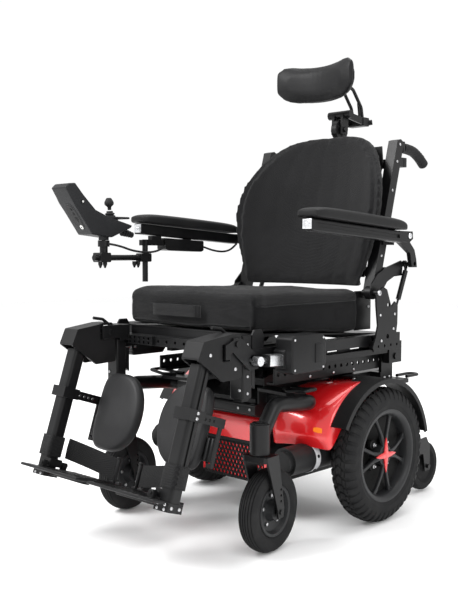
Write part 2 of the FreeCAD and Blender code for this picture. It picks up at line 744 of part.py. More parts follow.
def back_frame():
    canes = both(cane())
    arch = [(176, 585), (164, 598), (170, 622), (200, 650), (244, 668), (316, 686), (324, 676), (320, 644),
            (280, 642), (246, 628), (220, 600), (200, 585)]
    arches = both(plate(arch, (247, 251)))
    hubs = both(across(hip_y, hip_z, (231, 251), 18))
    pivot = both(across(arm_y, arm_z, (244, 290), 6))
    carriers = both(box((244, 252), (cane_line(arm_z) - 14, cane_line(arm_z) + 38), (arm_z - 24, arm_z + 24)))
    pieces = canes + arches + hubs + pivot + carriers + rigidizer(655, 25) + rigidizer(960, 20)
    frame = fuse(pieces)
    return [cut(frame, both(across(hip_y, hip_z, (210, 256), 8.06)))]


def back_row(z, half, depth, start, thick, keep):
    """A closed outline of a curved back layer at height z: centre hollow, wings forward."""
    centre = 185.0 + (z - 610.0) * math.tan(math.radians(recline_deg))
    front = []
    rear = []
    limit = cane_line(z) - 16.0 - keep
    for share in (-1.0, -0.8, -0.45, 0.0, 0.45, 0.8, 1.0):
        y = centre - depth * share * share
        y_front = y + start
        y_rear = y_front + thick * (1.0 - 0.35 * abs(share) ** 3)
        if abs(share) * half > 205.0:
            y_rear = min(y_rear, limit)
            y_front = min(y_front, y_rear - 8.0)
        front.append(V(share * half, y_front, z))
        rear.append(V(share * half, y_rear, z))
    return Part.makePolygon(front + rear[::-1] + front[:1])


def back_cushion():
    rows = [(612, 208, 14), (660, 226, 32), (740, 250, 56), (820, 262, 72), (900, 257, 74), (960, 243, 62),
            (1010, 218, 42), (1034, 190, 26), (1044, 158, 16)]
    loops = [back_row(z, half, depth, 0.0, 40.0, 9.0) for z, half, depth in rows]
    return Part.makeLoft(loops, True, True)


def back_shell():
    rows = [(640, 190, 12), (740, 200, 26), (820, 203, 32), (900, 203, 38), (960, 200, 30), (1010, 176, 14)]
    loops = [back_row(z, half, depth, 42.0, 5.0, 0.0) for z, half, depth in rows]
    return Part.makeLoft(loops, True, True)


def push_grips():
    y = cane_line(1003) + 16.5
    stem = bent_tube([(cane_x, y - 10, 1003), (cane_x, y + 58, 1000), (cane_x, 461, 962)], 40, 11)
    grip = bent_tube([(cane_x, y + 12, 1002.6), (cane_x, y + 58, 1000), (cane_x, 463, 960)], 40, 15)
    collar = box((cane_x - 15, cane_x + 15), (y, y + 8), (986, 1018))
    return both(fuse([stem, grip, collar]).cut(cane()).Solids[0])


def arm_brackets():
    u_y = arm_y + link_y
    u_z = arm_z + link_z
    hub = across(arm_y, arm_z, (254, 286), 15)
    outline = [(arm_y - 14, arm_z + 6), (arm_y + 10, arm_z + 13), (304, 742), (334, 716), (344, 690),
               (u_y + 12, u_z - 10), (u_y - 14, u_z - 10), (312, 706), (294, 716), (arm_y + 4, arm_z - 15)]
    curved = plate(outline, (270, 282))
    lower = across(u_y, u_z, (264, 280), 9)
    arm_pin = across(arm_y, arm_z, (282, 318), 9)
    bracket = fuse([hub, curved, arm_pin])
    bracket = bracket.cut(across(arm_y, arm_z, (240, 294), 6.06))
    clear = across(u_y, u_z, (250, 290), 6)
    return both(bracket.fuse(lower).removeSplitter().cut(clear))


def arm_links():
    low = (258, hip_y + link_y, hip_z + link_z)
    high = (258, arm_y + link_y, arm_z + link_z)
    run = unit(low, high)
    start = V(*low)
    end = V(*high)
    strut = rod(tuple(start + run * 60), tuple(end - run * 22), 7)
    thin = rod(low, high, 3)
    foot = across(low[1], low[2], (254, 262), 9)
    head = across(high[1], high[2], (245, 252.5), 9)
    pin = across(high[1], high[2], (248, 268), 5)
    neck = rod((249, high[1], high[2]), (258, high[1] - 9, high[2] - 17), 3.5)
    link = fuse([strut, thin, foot, pin, head, neck])
    return both(link.cut(across(low[1], low[2], (248, 270), 5.06)))


def headrest_bracket():
    z_low = 900.0
    y_low = 185.0 + 66.0 + (z_low - 610.0) * math.tan(math.radians(recline_deg))
    y_high = 185.0 + 66.0 + (1040.0 - 610.0) * math.tan(math.radians(recline_deg))
    channel = plate([(y_low, z_low), (y_high, 1040), (y_high + 16, 1040), (y_low + 16, z_low)], (-20, 20))
    neck = plate([(y_high - 3, 1030), (y_high + 13, 1030), (378, 1066), (350, 1066)], (-9, 9))
    disc = across(362, 1075, (-9, 9), 30)
    return [fuse([channel, neck, disc]).cut(across(362, 1075, (-20, 20), 8.06))]


def headrest_link():
    pin = across(362, 1075, (-26, 26), 8)
    cheeks = both(plate([(348, 1062), (376, 1062), (382, 1118), (352, 1122)], (12, 20)))
    clamp = across(367, 1120, (-40, 40), 12)
    arms = both(plate([(362, 1110), (374, 1128), (462, 1116), (456, 1096)], (22, 28)))
    block = eased(box((-30, 30), (444, 474), (1094, 1120)), 4, (1, 0, 0))
    rods = both(bent_tube([(18, 456, 1112), (18, 448, 1150), (18, 404, 1200), (18, 322, 1214)], 24, 5))
    lever = bent_tube([(0, 462, 1116), (0, 464, 1134), (0, 458, 1168)], 10, 4)
    knob = rod((20, 477, 1106), (34, 485, 1108), 8)
    knob_stem = rod((10, 464, 1106), (26, 481, 1107), 4)
    ball = across(322, 1214, (-24, 24), 8)
    return [fuse([pin, clamp, block, lever, knob, knob_stem, ball] + cheeks + arms + rods)]


def headrest_pad():
    centre_y = 250.0
    centre_z = 1208.0
    rows = []
    for share, half_height in ((-1.0, 42.0), (-0.8, 53.0), (0.0, 55.0), (0.8, 53.0), (1.0, 42.0)):
        x = share * 136.0
        y = centre_y - 38.0 * share * share
        lift = -9.0 + 12.0 * share * share
        depth = 22.0 if abs(share) == 1.0 else 44.0
        low = centre_z + lift - half_height
        high = centre_z + lift + half_height
        points = [V(x, y, low), V(x, y - 4, centre_z + lift), V(x, y, high), V(x, y + depth, high - 6),
                  V(x, y + depth + 6, centre_z + lift), V(x, y + depth, low + 6)]
        rows.append(Part.makePolygon(points + points[:1]))
    pad = Part.makeLoft(rows, True, True)
    mount = box((-28, 28), (294, 301), (1192, 1234))
    socket = ring((-12, 322, 1214), (12, 322, 1214), 14, 8.06)
    arm = box((-9, 9), (299, 313), (1204, 1224)).cut(across(322, 1214, (-20, 20), 12))
    return [pad, fuse([mount, arm, socket])]


# ---- arms ---------------------------------------------------------------------------
def armrest_frame():
    rear = 262.0
    front = arm_front
    points = [(front, arm_line(front, 2)), (rear - 46, arm_line(rear - 46, 2)), (rear - 46, arm_line(rear - 46, 32)),
              (front, arm_line(front, 32))]
    channel = plate(points, (289, 319))
    channel = eased(channel, 4, (0, -math.cos(math.radians(arm_slope)), math.sin(math.radians(arm_slope))))
    groove = plate([(front + 20, arm_line(front, 12)), (200, arm_line(200, 12)), (200, arm_line(200, 22)),
                    (front + 20, arm_line(front, 22))], (315, 322))
    heel = plate([(rear - 60, arm_line(rear - 60, 2)), (arm_y + 14, arm_z + 12), (arm_y + 16, arm_z - 8),
                  (arm_y, arm_z - 17), (rear - 60, arm_line(rear - 60, 31))], (295, 319))
    frame = fuse([channel.cut(groove), heel])
    return frame.cut(across(arm_y, arm_z, (280, 330), 9.06))


def armrest_pad():
    front = arm_front - 6
    rear = 218.0
    points = [(front, arm_line(front, -4)), (front + 10, arm_line(front, -24)), (front + 60, arm_line(front + 60, -29)),
              (rear - 30, arm_line(rear, -29)), (rear, arm_line(rear, -16)), (rear, arm_line(rear, -2)),
              (front + 8, arm_line(front + 8, -2))]
    return eased(plate(points, (arm_x - arm_half, arm_x + arm_half)), 4, (1, 0, 0))


# ---- joystick -----------------------------------------------------------------------
def joystick_mount():
    """Clamp and hanging post under the right armrest, the bar that carries the pod, and the cable box."""
    arm = box((-297, -283), (-176, -96), (728, 744))
    lift = box((-300, -283), (-140, -104), (740, arm_line(-104, 32)))
    post = rod((-290, -160, 626), (-290, -160, 745), 8)
    bar = rod((-290, -342, 694), (-290, -146, 694), 8)
    clamp = eased(box((-302, -278), (-184, -146), (682, 706)), 4, (1, 0, 0))
    head = eased(box((-314, -278), (-326, -292), (682, 708)), 4, (1, 0, 0))
    stack = rod((-300, -300, 704), (-300, -300, 734), 11)
    cup = rod((-300, -300, 724), (-300, -300, 741), 16)
    pin = rod((-300, -300, 738), (-300, -300, 750), 5)
    screws = []
    for y in (-320, -304, -200, -186):
        screws.append(rod((-290, y, 676), (-290, y, 684), 6))
        screws.append(Part.makeCone(2, 6, 10, V(-290, y, 666)))
    mount = fuse([arm, lift, post, bar, clamp, head, stack, cup, pin] + screws)
    cable_box = plate([(-92, 718), (-80, 714), (52, 710), (62, 714), (62, 742), (-92, 750)], (-314, -278))
    strap = box((-316, -289), (-40, 20), (arm_line(20, 32) - 8, arm_line(20, 32)))
    return [mount, eased(cable_box, 4, (1, 0, 0)).fuse(strap).removeSplitter()]


def joystick_pod():
    """Wedge pod: its rear low end holds the stick, its front high end faces away from the user."""
    outline = [(-442, 877), (-426, 888), (-396, 890), (-332, 816), (-217, 783), (-289, 749), (-356, 756),
               (-417, 839)]
    body = eased(plate(outline, (-340, -276)), 5, (1, 0, 0))
    foot = rod((-300, -300, 741.4), (-300, -300, 764), 14)
    axis = stick_axis()
    well = rod(tuple(stick_base - axis * 7), tuple(stick_base + axis * 40), 20)
    button_hole = across(-388, 842, (-282, -270), 6.4)
    bore = rod((-300, -300, 735), (-300, -300, 752), 5.06)
    boot = rod((-302, -236, 766), (-302, -198, 758), 11)
    return [cut(fuse([body, foot, boot]), [well, bore, button_hole])]


stick_base = V(-308, -270, 794)


def stick_axis():
    return V(0, -0.08, 1).normalize()


def joystick_gaiter():
    profile = [(0, 0), (0, 17), (6, 17), (8, 13), (14, 16), (16, 11), (22, 14), (24, 9), (28, 9), (28, 0)]
    return [lathe(profile, tuple(stick_base), tuple(stick_axis()))]


def joystick_knob():
    profile = [(30.4, 0), (30.4, 5), (40, 5), (43, 11), (52, 13), (58, 10), (63, 6), (64, 0)]
    return [lathe(profile, tuple(stick_base), tuple(stick_axis()))]


def power_button():
    return [across(-388, 842, (-279.6, -273), 6)]


def cord(points, radius):
    """A cord of straight runs joined by arcs as large as the runs beside each corner allow."""
    knots = [V(*p) for p in points]
    edges = []
    last = knots[0]
    for before, corner, after in zip(knots, knots[1:], knots[2:]):
        back = (before - corner).normalize()
        ahead = (after - corner).normalize()
        half_turn = (math.pi - back.getAngle(ahead)) / 2
        reach = 0.45 * min((before - corner).Length, (after - corner).Length)
        bend = reach / math.tan(half_turn)
        print("   cord bend radius", round(bend))
        first = corner + back * reach
        final = corner + ahead * reach
        middle = corner + (back + ahead).normalize() * (bend / math.cos(half_turn) - bend)
        edges.append(Part.LineSegment(last, first).toShape())
        edges.append(Part.Arc(first, middle, final).toShape())
        last = final
    edges.append(Part.LineSegment(last, knots[-1]).toShape())
    line = Part.Wire(edges)
    circle = Part.Wire(Part.Circle(knots[0], knots[1] - knots[0], radius).toShape())
    tube = line.makePipe(Part.Face(circle))
    section = math.pi * radius * radius
    print("   cord length", round(line.Length), "volume", round(tube.Volume), "should be", round(section * line.Length))
    return tube


cord_front = [(-283.5, -300, 732), (-274, -288, 730), (-268, -262, 724), (-268, -228, 714), (-268, -190, 709),
              (-269, -152, 709), (-272, -120, 715), (-279, -92, 727)]
cord_rear = [(-292, 62, 728), (-291, 84, 722), (-289, 114, 714), (-288, 150, 710), (-289, 180, 713),
             (-292, 206, 723), (-296, 226, 735)]


def joystick_cable():
    return [cord(cord_front, 3.0), cord(cord_rear, 3.0)]


# ---- everything ---------------------------------------------------------------------
def build():
    os.makedirs("parts", exist_ok=True)
    save("base_frame", [base_frame()])
    save("batteries", batteries())
    save("front_grille", [front_grille()])
    save("red_shrouds", red_shrouds())
    save("fenders", fenders())
    save("drive_motors", drive_motors())
    save("deck_cover", [deck_cover()])
    save("tie_down_loops", tie_down_loops())
    save("antitip_arms", antitip_arms())
    save("caster_arms", caster_arms())
    for side in ("left", "right"):
        fork, tyre, rim = caster_parts(side)
        save("caster_fork_" + side, [fork])
        save("caster_tyre_" + side, [tyre])
        save("caster_rim_" + side, [rim])
    save_pair("drive_tyre", [drive_tyre(drive_track)])
    save_pair("drive_rim", [drive_rim(drive_track)])
    save_pair("antitip_wheel", [antitip_wheel()])
    save("seat_frame", seat_frame())
    save("seat_cushion", [seat_cushion()])
    save("hanger_posts", hanger_posts())
    save("back_brackets", back_brackets())
    save("tilt_actuator", tilt_actuator())
    save("tilt_rod", tilt_rod())
    save("power_module", power_module())
    save_pair("knee_housing", [knee_housing()])
    save_pair("leg_tube", [leg_tube().fuse(calf_clamp()).removeSplitter()])
    save_pair("footplate", footplate())
    save_pair("calf_pad", calf_pad())
    save_pair("leg_actuator", [leg_actuator()])
    save_pair("leg_rod", [leg_rod_part()])
    save("back_frame", back_frame())
    save("back_shell", [back_shell()])
    save("back_cushion", [back_cushion()])
    save("push_grips", push_grips())
    save("arm_brackets", arm_brackets())
    save("arm_links", arm_links())
    save("headrest_bracket", headrest_bracket())
    save("headrest_link", headrest_link())
    save("headrest_pad", headrest_pad())
    save_pair("armrest_frame", [armrest_frame()])
    save_pair("armrest_pad", [armrest_pad()])
    save("joystick_mount", joystick_mount())
    save("joystick_pod", joystick_pod())
    save("joystick_gaiter", joystick_gaiter())
    save("joystick_knob", joystick_knob())
    save("power_button", power_button())
    save("joystick_cable", joystick_cable())


build()
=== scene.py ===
# %% [markdown]
# # A power wheelchair, dressed over its CAD frame
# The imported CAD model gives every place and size. This script adds the looks: covers, rubber,
# paint and small hardware. Shapes are drawn in millimetres from the same origin as the part's
# drawing and put in the frame, in metres, when each piece is finished.
# %%
import math

import bmesh
import bpy
from mathutils import Matrix, Vector
from mathutils.bvhtree import BVHTree


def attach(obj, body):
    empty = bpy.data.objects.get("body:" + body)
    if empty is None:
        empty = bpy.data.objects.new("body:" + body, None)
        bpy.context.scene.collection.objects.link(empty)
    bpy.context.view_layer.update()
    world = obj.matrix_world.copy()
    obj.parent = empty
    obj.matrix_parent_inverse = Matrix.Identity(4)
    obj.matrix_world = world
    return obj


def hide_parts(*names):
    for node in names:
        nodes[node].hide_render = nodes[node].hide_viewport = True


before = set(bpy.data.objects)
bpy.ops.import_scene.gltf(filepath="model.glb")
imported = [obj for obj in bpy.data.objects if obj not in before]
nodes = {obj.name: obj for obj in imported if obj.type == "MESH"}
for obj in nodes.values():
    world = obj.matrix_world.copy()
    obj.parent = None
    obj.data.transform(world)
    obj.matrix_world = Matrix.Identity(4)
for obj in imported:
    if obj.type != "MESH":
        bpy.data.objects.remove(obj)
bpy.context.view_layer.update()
scene = bpy.context.scene

# The part is drawn with its axle at y = 130 mm and exported 37.6 mm further back.
drawing_shift = 37.6
to_frame = Matrix.Scale(0.001, 4) @ Matrix.Translation((0, drawing_shift, 0))

# %% [markdown]
# ## Camera
# The view is from the user's front left, a little above the seat, with a 52 mm lens.
# %%
camera_place = Vector((1.602, -1.777, 0.7124))
camera_azimuth = math.radians(43.41)
camera_drop = math.radians(3.5)
aim = Vector((-math.sin(camera_azimuth) * math.cos(camera_drop),
              math.cos(camera_azimuth) * math.cos(camera_drop),
              -math.sin(camera_drop)))
camera = bpy.data.objects.new("camera", bpy.data.cameras.new("camera"))
camera.location = camera_place
camera.rotation_euler = aim.to_track_quat("-Z", "Y").to_euler()
camera.data.lens = 52.1
camera.data.sensor_width = 36.0
scene.collection.objects.link(camera)
scene.camera = camera


# %% [markdown]
# ## A small language for shader arithmetic
# `Socket` lets a pattern be written as ordinary sums, and `Look` is one material.
# %%
class Socket:
    """An output of a shader node that can be used in sums."""

    def __init__(self, look, plug):
        self.look = look
        self.plug = plug

    def maths(self, operation, other=0.0, swapped=False):
        first, second = (other, self) if swapped else (self, other)
        return self.look.node("Math", {"operation": operation}, {0: first, 1: second})

    def __add__(self, other):
        return self.maths("ADD", other)

    def __sub__(self, other):
        return self.maths("SUBTRACT", other)

    def __mul__(self, other):
        return self.maths("MULTIPLY", other)

    def __truediv__(self, other):
        return self.maths("DIVIDE", other)

    def __pow__(self, other):
        return self.maths("POWER", other)

    def __rsub__(self, other):
        return self.maths("SUBTRACT", other, True)

    def __rtruediv__(self, other):
        return self.maths("DIVIDE", other, True)

    __radd__ = __add__
    __rmul__ = __mul__

    def sine(self):
        return self.maths("SINE")

    def size(self):
        return self.maths("ABSOLUTE")

    def above(self, limit):
        return self.maths("GREATER_THAN", limit)

    def ramp(self, low, high):
        """0 up to low, 1 from high, smooth between."""
        settings = {"interpolation_type": "SMOOTHSTEP"}
        return self.look.node("MapRange", settings, {0: self, 1: low, 2: high})


class Look:
    """One procedural material."""

    def __init__(self, name, fixed):
        self.material = bpy.data.materials.new(name)
        self.material.use_nodes = True
        self.tree = self.material.node_tree
        self.shader = self.tree.nodes["Principled BSDF"]
        for socket, value in fixed.items():
            self.shader.inputs[socket].default_value = value

    def node(self, kind, settings, sockets, output=0):
        made = self.tree.nodes.new("ShaderNode" + kind)
        for key, value in settings.items():
            setattr(made, key, value)
        for key, value in sockets.items():
            self.feed(made.inputs[key], value)
        return Socket(self, made.outputs[output])

    def feed(self, target, value):
        if isinstance(value, Socket):
            self.tree.links.new(value.plug, target)
        else:
            target.default_value = value

    def place(self):
        return self.node("TexCoord", {}, {}, "Object")

    def axes(self, scale=1.0):
        split = self.node("SeparateXYZ", {}, {0: self.place()})
        plugs = split.plug.node.outputs
        return [Socket(self, plugs[i]) * scale for i in range(3)]

    def noise(self, scale, detail=2.0, stretch=None):
        place = self.place()
        if stretch:
            place = self.node("Mapping", {}, {0: place, "Scale": stretch})
        sockets = {"Vector": place, "Scale": scale, "Detail": detail}
        return self.node("TexNoise", {}, sockets)

    def cells(self, scale, feature="F1"):
        sockets = {"Vector": self.place(), "Scale": scale}
        return self.node("TexVoronoi", {"feature": feature}, sockets)

    def mix(self, factor, first, second):
        sockets = {0: factor, 6: (*first, 1), 7: (*second, 1)}
        return self.node("Mix", {"data_type": "RGBA"}, sockets, 2)

    def colour(self, factor, first, second):
        self.feed(self.shader.inputs["Base Color"], self.mix(factor, first, second))

    def roughness(self, value):
        self.feed(self.shader.inputs["Roughness"], value)

    def bump(self, height, distance, eased=0.0):
        sockets = {"Height": height, "Distance": distance, "Strength": 1.0}
        if eased:
            sockets["Normal"] = self.node("Bevel", {"samples": 4}, {"Radius": eased})
        self.feed(self.shader.inputs["Normal"], self.node("Bump", {}, sockets))
        return self


# %% [markdown]
# ## Materials
# Each one has its colour variation, its grain at real scale and a slightly uneven gloss.
# %%
def powder_coat(name, dark, light, gloss, eased=0.0012):
    """Satin powder coat on metal: fine orange peel, and smudges that show in the gloss."""
    look = Look(name, {"Specular IOR Level": 0.24})
    smudge = look.noise(14.0, 4.0)
    look.colour(smudge.ramp(0.35, 0.75), dark, light)
    look.roughness(gloss + (smudge - 0.5) * 0.16)
    return look.bump(look.noise(900.0), 0.00008, eased)


def moulded(name, dark, light, gloss, grain=1400.0, depth=0.00009, eased=0.0015):
    """Injection-moulded plastic with a spark-eroded grain."""
    look = Look(name, {"Specular IOR Level": 0.2})
    patch = look.noise(9.0, 3.0)
    look.colour(patch.ramp(0.3, 0.7), dark, light)
    look.roughness(gloss + (patch - 0.5) * 0.1)
    return look.bump(look.cells(grain), depth, eased)


def rubber(name, dark, light, gloss):
    """Rubber with dust in its fine texture."""
    look = Look(name, {"Specular IOR Level": 0.16})
    dust = look.noise(30.0, 5.0)
    look.colour(dust.ramp(0.35, 0.8), dark, light)
    look.roughness(gloss + (dust - 0.5) * 0.12)
    return look.bump(look.noise(1100.0, 3.0), 0.00012)


def woven(name, dark, light, pitch, depth, sheen):
    """Cloth: three crossed waves make a weave on a surface that faces any way."""
    look = Look(name, {"Specular IOR Level": 0.08, "Sheen Weight": sheen, "Sheen Roughness": 0.45,
                       "Roughness": 0.88})
    x, y, z = look.axes(2 * math.pi / pitch)
    threads = x.sine() * (y + 1.57).sine() + y.sine() * (z + 1.57).sine() + z.sine() * (x + 1.57).sine()
    lie = look.noise(7.0, 3.0)
    fibre = look.noise(420.0, 3.0)
    shade = threads * 0.16 + fibre * 0.5 + lie * 0.5
    look.colour(shade.ramp(0.2, 0.85), dark, light)
    return look.bump(threads * 0.5 + fibre * 0.7, depth)


def skin_foam(name, dark, light, gloss):
    """Self-skinned polyurethane foam: leathery pores on a soft shape."""
    look = Look(name, {"Specular IOR Level": 0.2})
    patch = look.noise(11.0, 4.0)
    pores = look.cells(520.0)
    look.colour(patch.ramp(0.3, 0.75), dark, light)
    look.roughness(gloss + (patch - 0.5) * 0.14)
    return look.bump(pores * 0.7 + look.noise(160.0) * 0.6, 0.00022)


def candy_red():
    """Clear-coated red over a metallic base, with fine flake."""
    look = Look("candy_red", {"Metallic": 0.25, "Coat Weight": 1.0, "Coat Roughness": 0.06,
                              "Specular IOR Level": 0.5})
    flake = look.cells(2600.0)
    cloud = look.noise(5.0)
    look.colour(flake * 0.35 + cloud * 0.5, (0.52, 0.002, 0.006), (0.78, 0.012, 0.014))
    look.roughness(flake * 0.14 + 0.24)
    return look.bump(look.noise(60.0), 0.00004)


def bare_metal(name, dark, light, gloss, grain=(1, 1, 1), metallic=1.0):
    """Zinc plate, machined or brushed metal."""
    look = Look(name, {"Metallic": metallic})
    streak = look.noise(260.0, 3.0, grain)
    look.colour(streak.ramp(0.3, 0.7), dark, light)
    look.roughness(gloss + (streak - 0.5) * 0.15)
    return look.bump(streak, 0.00003, 0.0006)


satin = powder_coat("satin_black", (0.0038, 0.0038, 0.0042), (0.0067, 0.0067, 0.0071), 0.36)
plastic = moulded("black_plastic", (0.0048, 0.0048, 0.0052), (0.008, 0.008, 0.0084), 0.46)
grey_plastic = moulded("charcoal_plastic", (0.0109, 0.0113, 0.0122), (0.0151, 0.0155, 0.0168), 0.48)
case_plastic = moulded("battery_plastic", (0.01, 0.01, 0.01), (0.02, 0.02, 0.021), 0.6)
tyre_rubber = rubber("tyre_rubber", (0.011, 0.011, 0.0116), (0.0187, 0.0187, 0.0187), 0.78)
grip_rubber = rubber("grip_rubber", (0.011, 0.011, 0.0116), (0.0176, 0.0176, 0.0182), 0.62)
rim_paint = powder_coat("rim_paint", (0.0135, 0.014, 0.0149), (0.0207, 0.0212, 0.0225), 0.40)
# Painted shade: a near-black coat laid into the rim's dish, the wheel-bolt pockets, the anti-tip wheel's
# slots and the headrest disc's three dots, where shade falls.
painted_hollow_shade = powder_coat("rim_shade", (0.004, 0.004, 0.004), (0.007, 0.007, 0.007), 0.7)
motor_paint = powder_coat("motor_paint", (0.009, 0.009, 0.0095), (0.015, 0.015, 0.0155), 0.42)
seat_cloth = woven("seat_cloth", (0.005, 0.005, 0.0055), (0.012, 0.012, 0.0125), 0.0022, 0.0005, 0.1)
side_cloth = woven("side_cloth", (0.004, 0.004, 0.0045), (0.008, 0.008, 0.0085), 0.0014, 0.0003, 0.05)
back_cloth = woven("back_cloth", (0.0059, 0.0059, 0.0063), (0.0143, 0.0143, 0.0151), 0.0030, 0.0007, 0.1)
webbing = woven("webbing", (0.006, 0.006, 0.0065), (0.017, 0.017, 0.0175), 0.0034, 0.0009, 0.1)
pad_skin = skin_foam("pad_skin", (0.005, 0.005, 0.0054), (0.0094, 0.0094, 0.0097), 0.52)
calf_skin = skin_foam("calf_skin", (0.0135, 0.0135, 0.0142), (0.0225, 0.0225, 0.0232), 0.48)
head_skin = skin_foam("head_skin", (0.004, 0.004, 0.0045), (0.007, 0.007, 0.0075), 0.5)
red = candy_red()
zinc = bare_metal("zinc", (0.42, 0.42, 0.43), (0.68, 0.68, 0.69), 0.3)
brushed = bare_metal("brushed_aluminium", (0.62, 0.63, 0.65), (0.86, 0.87, 0.88), 0.28, (1, 12, 1))
pale_band = moulded("pale_band", (0.42, 0.42, 0.43), (0.55, 0.55, 0.56), 0.5)
amber = moulded("amber_lens", (0.75, 0.16, 0.01), (0.9, 0.25, 0.02), 0.2)
socket_white = moulded("socket_insert", (0.5, 0.5, 0.48), (0.66, 0.66, 0.64), 0.45)

slot_looks = {
    "black_satin": satin, "red_gloss": red, "black_plastic": plastic, "grey_plastic": grey_plastic,
    "battery_case": case_plastic, "tyre": tyre_rubber, "rim": rim_paint, "motor": motor_paint,
    "rubber": grip_rubber, "fabric": seat_cloth, "cushion": back_cloth, "foam_skin": pad_skin,
    "aluminium": brushed,
}
for node in nodes.values():
    for holder in node.material_slots:
        kept = [name for name in slot_looks if holder.material and holder.material.name.startswith(name)]
        holder.material = slot_looks[kept[0]].material if kept else satin.material


# %% [markdown]
# ## Drawing tools
# `Piece` collects a mesh in millimetres and hands it over as one object on one body.
# %%
def through(points, steps=8):
    """A smooth line through the points."""
    knots = [Vector(p) for p in points]
    knots = [2 * knots[0] - knots[1]] + knots + [2 * knots[-1] - knots[-2]]
    line = []
    for a, b, c, d in zip(knots, knots[1:], knots[2:], knots[3:]):
        for step in range(steps):
            t = step / steps
            line.append(0.5 * (2 * b + (c - a) * t + (2 * a - 5 * b + 4 * c - d) * t * t
                               + (3 * b - a - 3 * c + d) * t ** 3))
    return line + [knots[-2]]


def oval(across, up, power=2.0, count=28):
    """A closed section, round for a power of 2 and squarer above it."""
    points = []
    for step in range(count):
        a = 2 * math.pi * step / count
        c, s = math.cos(a), math.sin(a)
        points.append((across * math.copysign(abs(c) ** (2 / power), c),
                       up * math.copysign(abs(s) ** (2 / power), s)))
    return points


class Piece:
    """A mesh drawn in the drawing's millimetres."""

    def __init__(self):
        self.mesh = bmesh.new()

    def face(self, corners, look=0):
        made = self.mesh.faces.new(corners)
        made.material_index = look
        return made

    def loft(self, loops, look=0, caps=True, wrap=False, open_loop=False):
        rings = [[self.mesh.verts.new(p) for p in loop] for loop in loops]
        pairs = list(zip(rings, rings[1:]))
        if wrap:
            pairs.append((rings[-1], rings[0]))
        for low, high in pairs:
            count = len(low)
            for i in range(count - 1 if open_loop else count):
                j = (i + 1) % count
                self.face((low[i], low[j], high[j], high[i]), look)
        if caps and not wrap:
            self.face(rings[0][::-1], look)
            self.face(rings[-1], look)
        return rings

    def lathe(self, profile, centre, axis, steps=48, look=0):
        """Turns a closed outline of (along, radius) about the axis."""
        turn = Vector(axis).to_track_quat("Z", "Y")
        loops = []
        for step in range(steps):
            a = 2 * math.pi * step / steps
            loops.append([Vector(centre) + turn @ Vector((r * math.cos(a), r * math.sin(a), s))
                          for s, r in profile])
        self.loft(loops, look, wrap=True)

    def rod(self, start, end, radius, look=0, ease=0.8, steps=24):
        run = Vector(end) - Vector(start)
        far = run.length
        ease = min(ease, radius * 0.6, far * 0.4)
        profile = [(0, 0), (0, radius - ease), (ease * 0.3, radius - ease * 0.3), (ease, radius),
                   (far - ease, radius), (far - ease * 0.3, radius - ease * 0.3), (far, radius - ease),
                   (far, 0)]
        self.lathe(profile, start, run, steps, look)

    def sweep(self, line, section, look=0, up=(1, 0, 0), scale=None):
        """Carries a closed section of (across, up) along a line."""
        loops = []
        for number, point in enumerate(line):
            before = line[max(number - 1, 0)]
            after = line[min(number + 1, len(line) - 1)]
            heading = (after - before).normalized()
            side = heading.cross(Vector(up)).normalized()
            rise = side.cross(heading)
            grow = scale(number / (len(line) - 1)) if scale else 1.0
            loops.append([point + side * a * grow + rise * b * grow for a, b in section])
        self.loft(loops, look)

    def plate(self, outline, x, ease=0.8, look=0, segments=2):
        """A plate with its outline in the YZ plane and eased edges."""
        low = [self.mesh.verts.new((x[0], y, z)) for y, z in outline]
        high = [self.mesh.verts.new((x[1], y, z)) for y, z in outline]
        made = [self.face(low[::-1], look), self.face(high, look)]
        count = len(low)
        for i in range(count):
            j = (i + 1) % count
            made.append(self.face((low[i], low[j], high[j], high[i]), look))
        edges = {e for f in made for e in f.edges}
        done = bmesh.ops.bevel(self.mesh, geom=list(edges), offset=ease, segments=segments, profile=0.6,
                               affect="EDGES", clamp_overlap=True, material=look)
        return {v for f in done["faces"] for v in f.verts}

    def block(self, low, high, ease=1.2, look=0, turn=None, segments=2):
        """A box with eased edges, turned about the origin and moved if a matrix is given."""
        outline = [(low[1], low[2]), (high[1], low[2]), (high[1], high[2]), (low[1], high[2])]
        verts = self.plate(outline, (low[0], high[0]), ease, look, segments)
        if turn:
            for v in verts:
                v.co = turn @ v.co
        return verts

    def bolt(self, place, axis, radius=4.0, height=3.0, look=0):
        """A button-head screw with a hexagon socket."""
        r, h = radius, height
        profile = [(-1.0, 0), (-1.0, r * 0.95), (0.2, r), (h * 0.4, r * 0.98), (h * 0.8, r * 0.8), (h,
                                                                                                    r * 0.55),
                   (h, r * 0.42), (h * 0.45, r * 0.40), (h * 0.45, 0)]
        self.lathe(profile, place, axis, 18, look)

    def done(self, name, looks, body, slot, stands_for=(), side=1, sharp=38, smooth=0):
        bmesh.ops.remove_doubles(self.mesh, verts=self.mesh.verts[:], dist=0.002)
        mirror = Matrix.Diagonal((side, 1, 1, 1))
        self.mesh.transform(to_frame @ mirror)
        bmesh.ops.recalc_face_normals(self.mesh, faces=self.mesh.faces[:])
        mesh = bpy.data.meshes.new(name)
        self.mesh.to_mesh(mesh)
        self.mesh.free()
        for look in looks:
            mesh.materials.append(look.material)
        mesh.shade_smooth()
        if sharp:
            mesh.set_sharp_from_angle(angle=math.radians(sharp))
        made = bpy.data.objects.new(name, mesh)
        scene.collection.objects.link(made)
        if smooth:
            made.modifiers.new("smooth", "SUBSURF").levels = smooth
            settle(made)
        if stands_for:
            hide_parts(*stands_for)
        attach(made, body)
        return made


def settle(obj):
    """Applies an object's modifiers to its mesh."""
    bpy.context.view_layer.update()
    graph = bpy.context.evaluated_depsgraph_get()
    mesh = bpy.data.meshes.new_from_object(obj.evaluated_get(graph))
    obj.modifiers.clear()
    obj.data = mesh


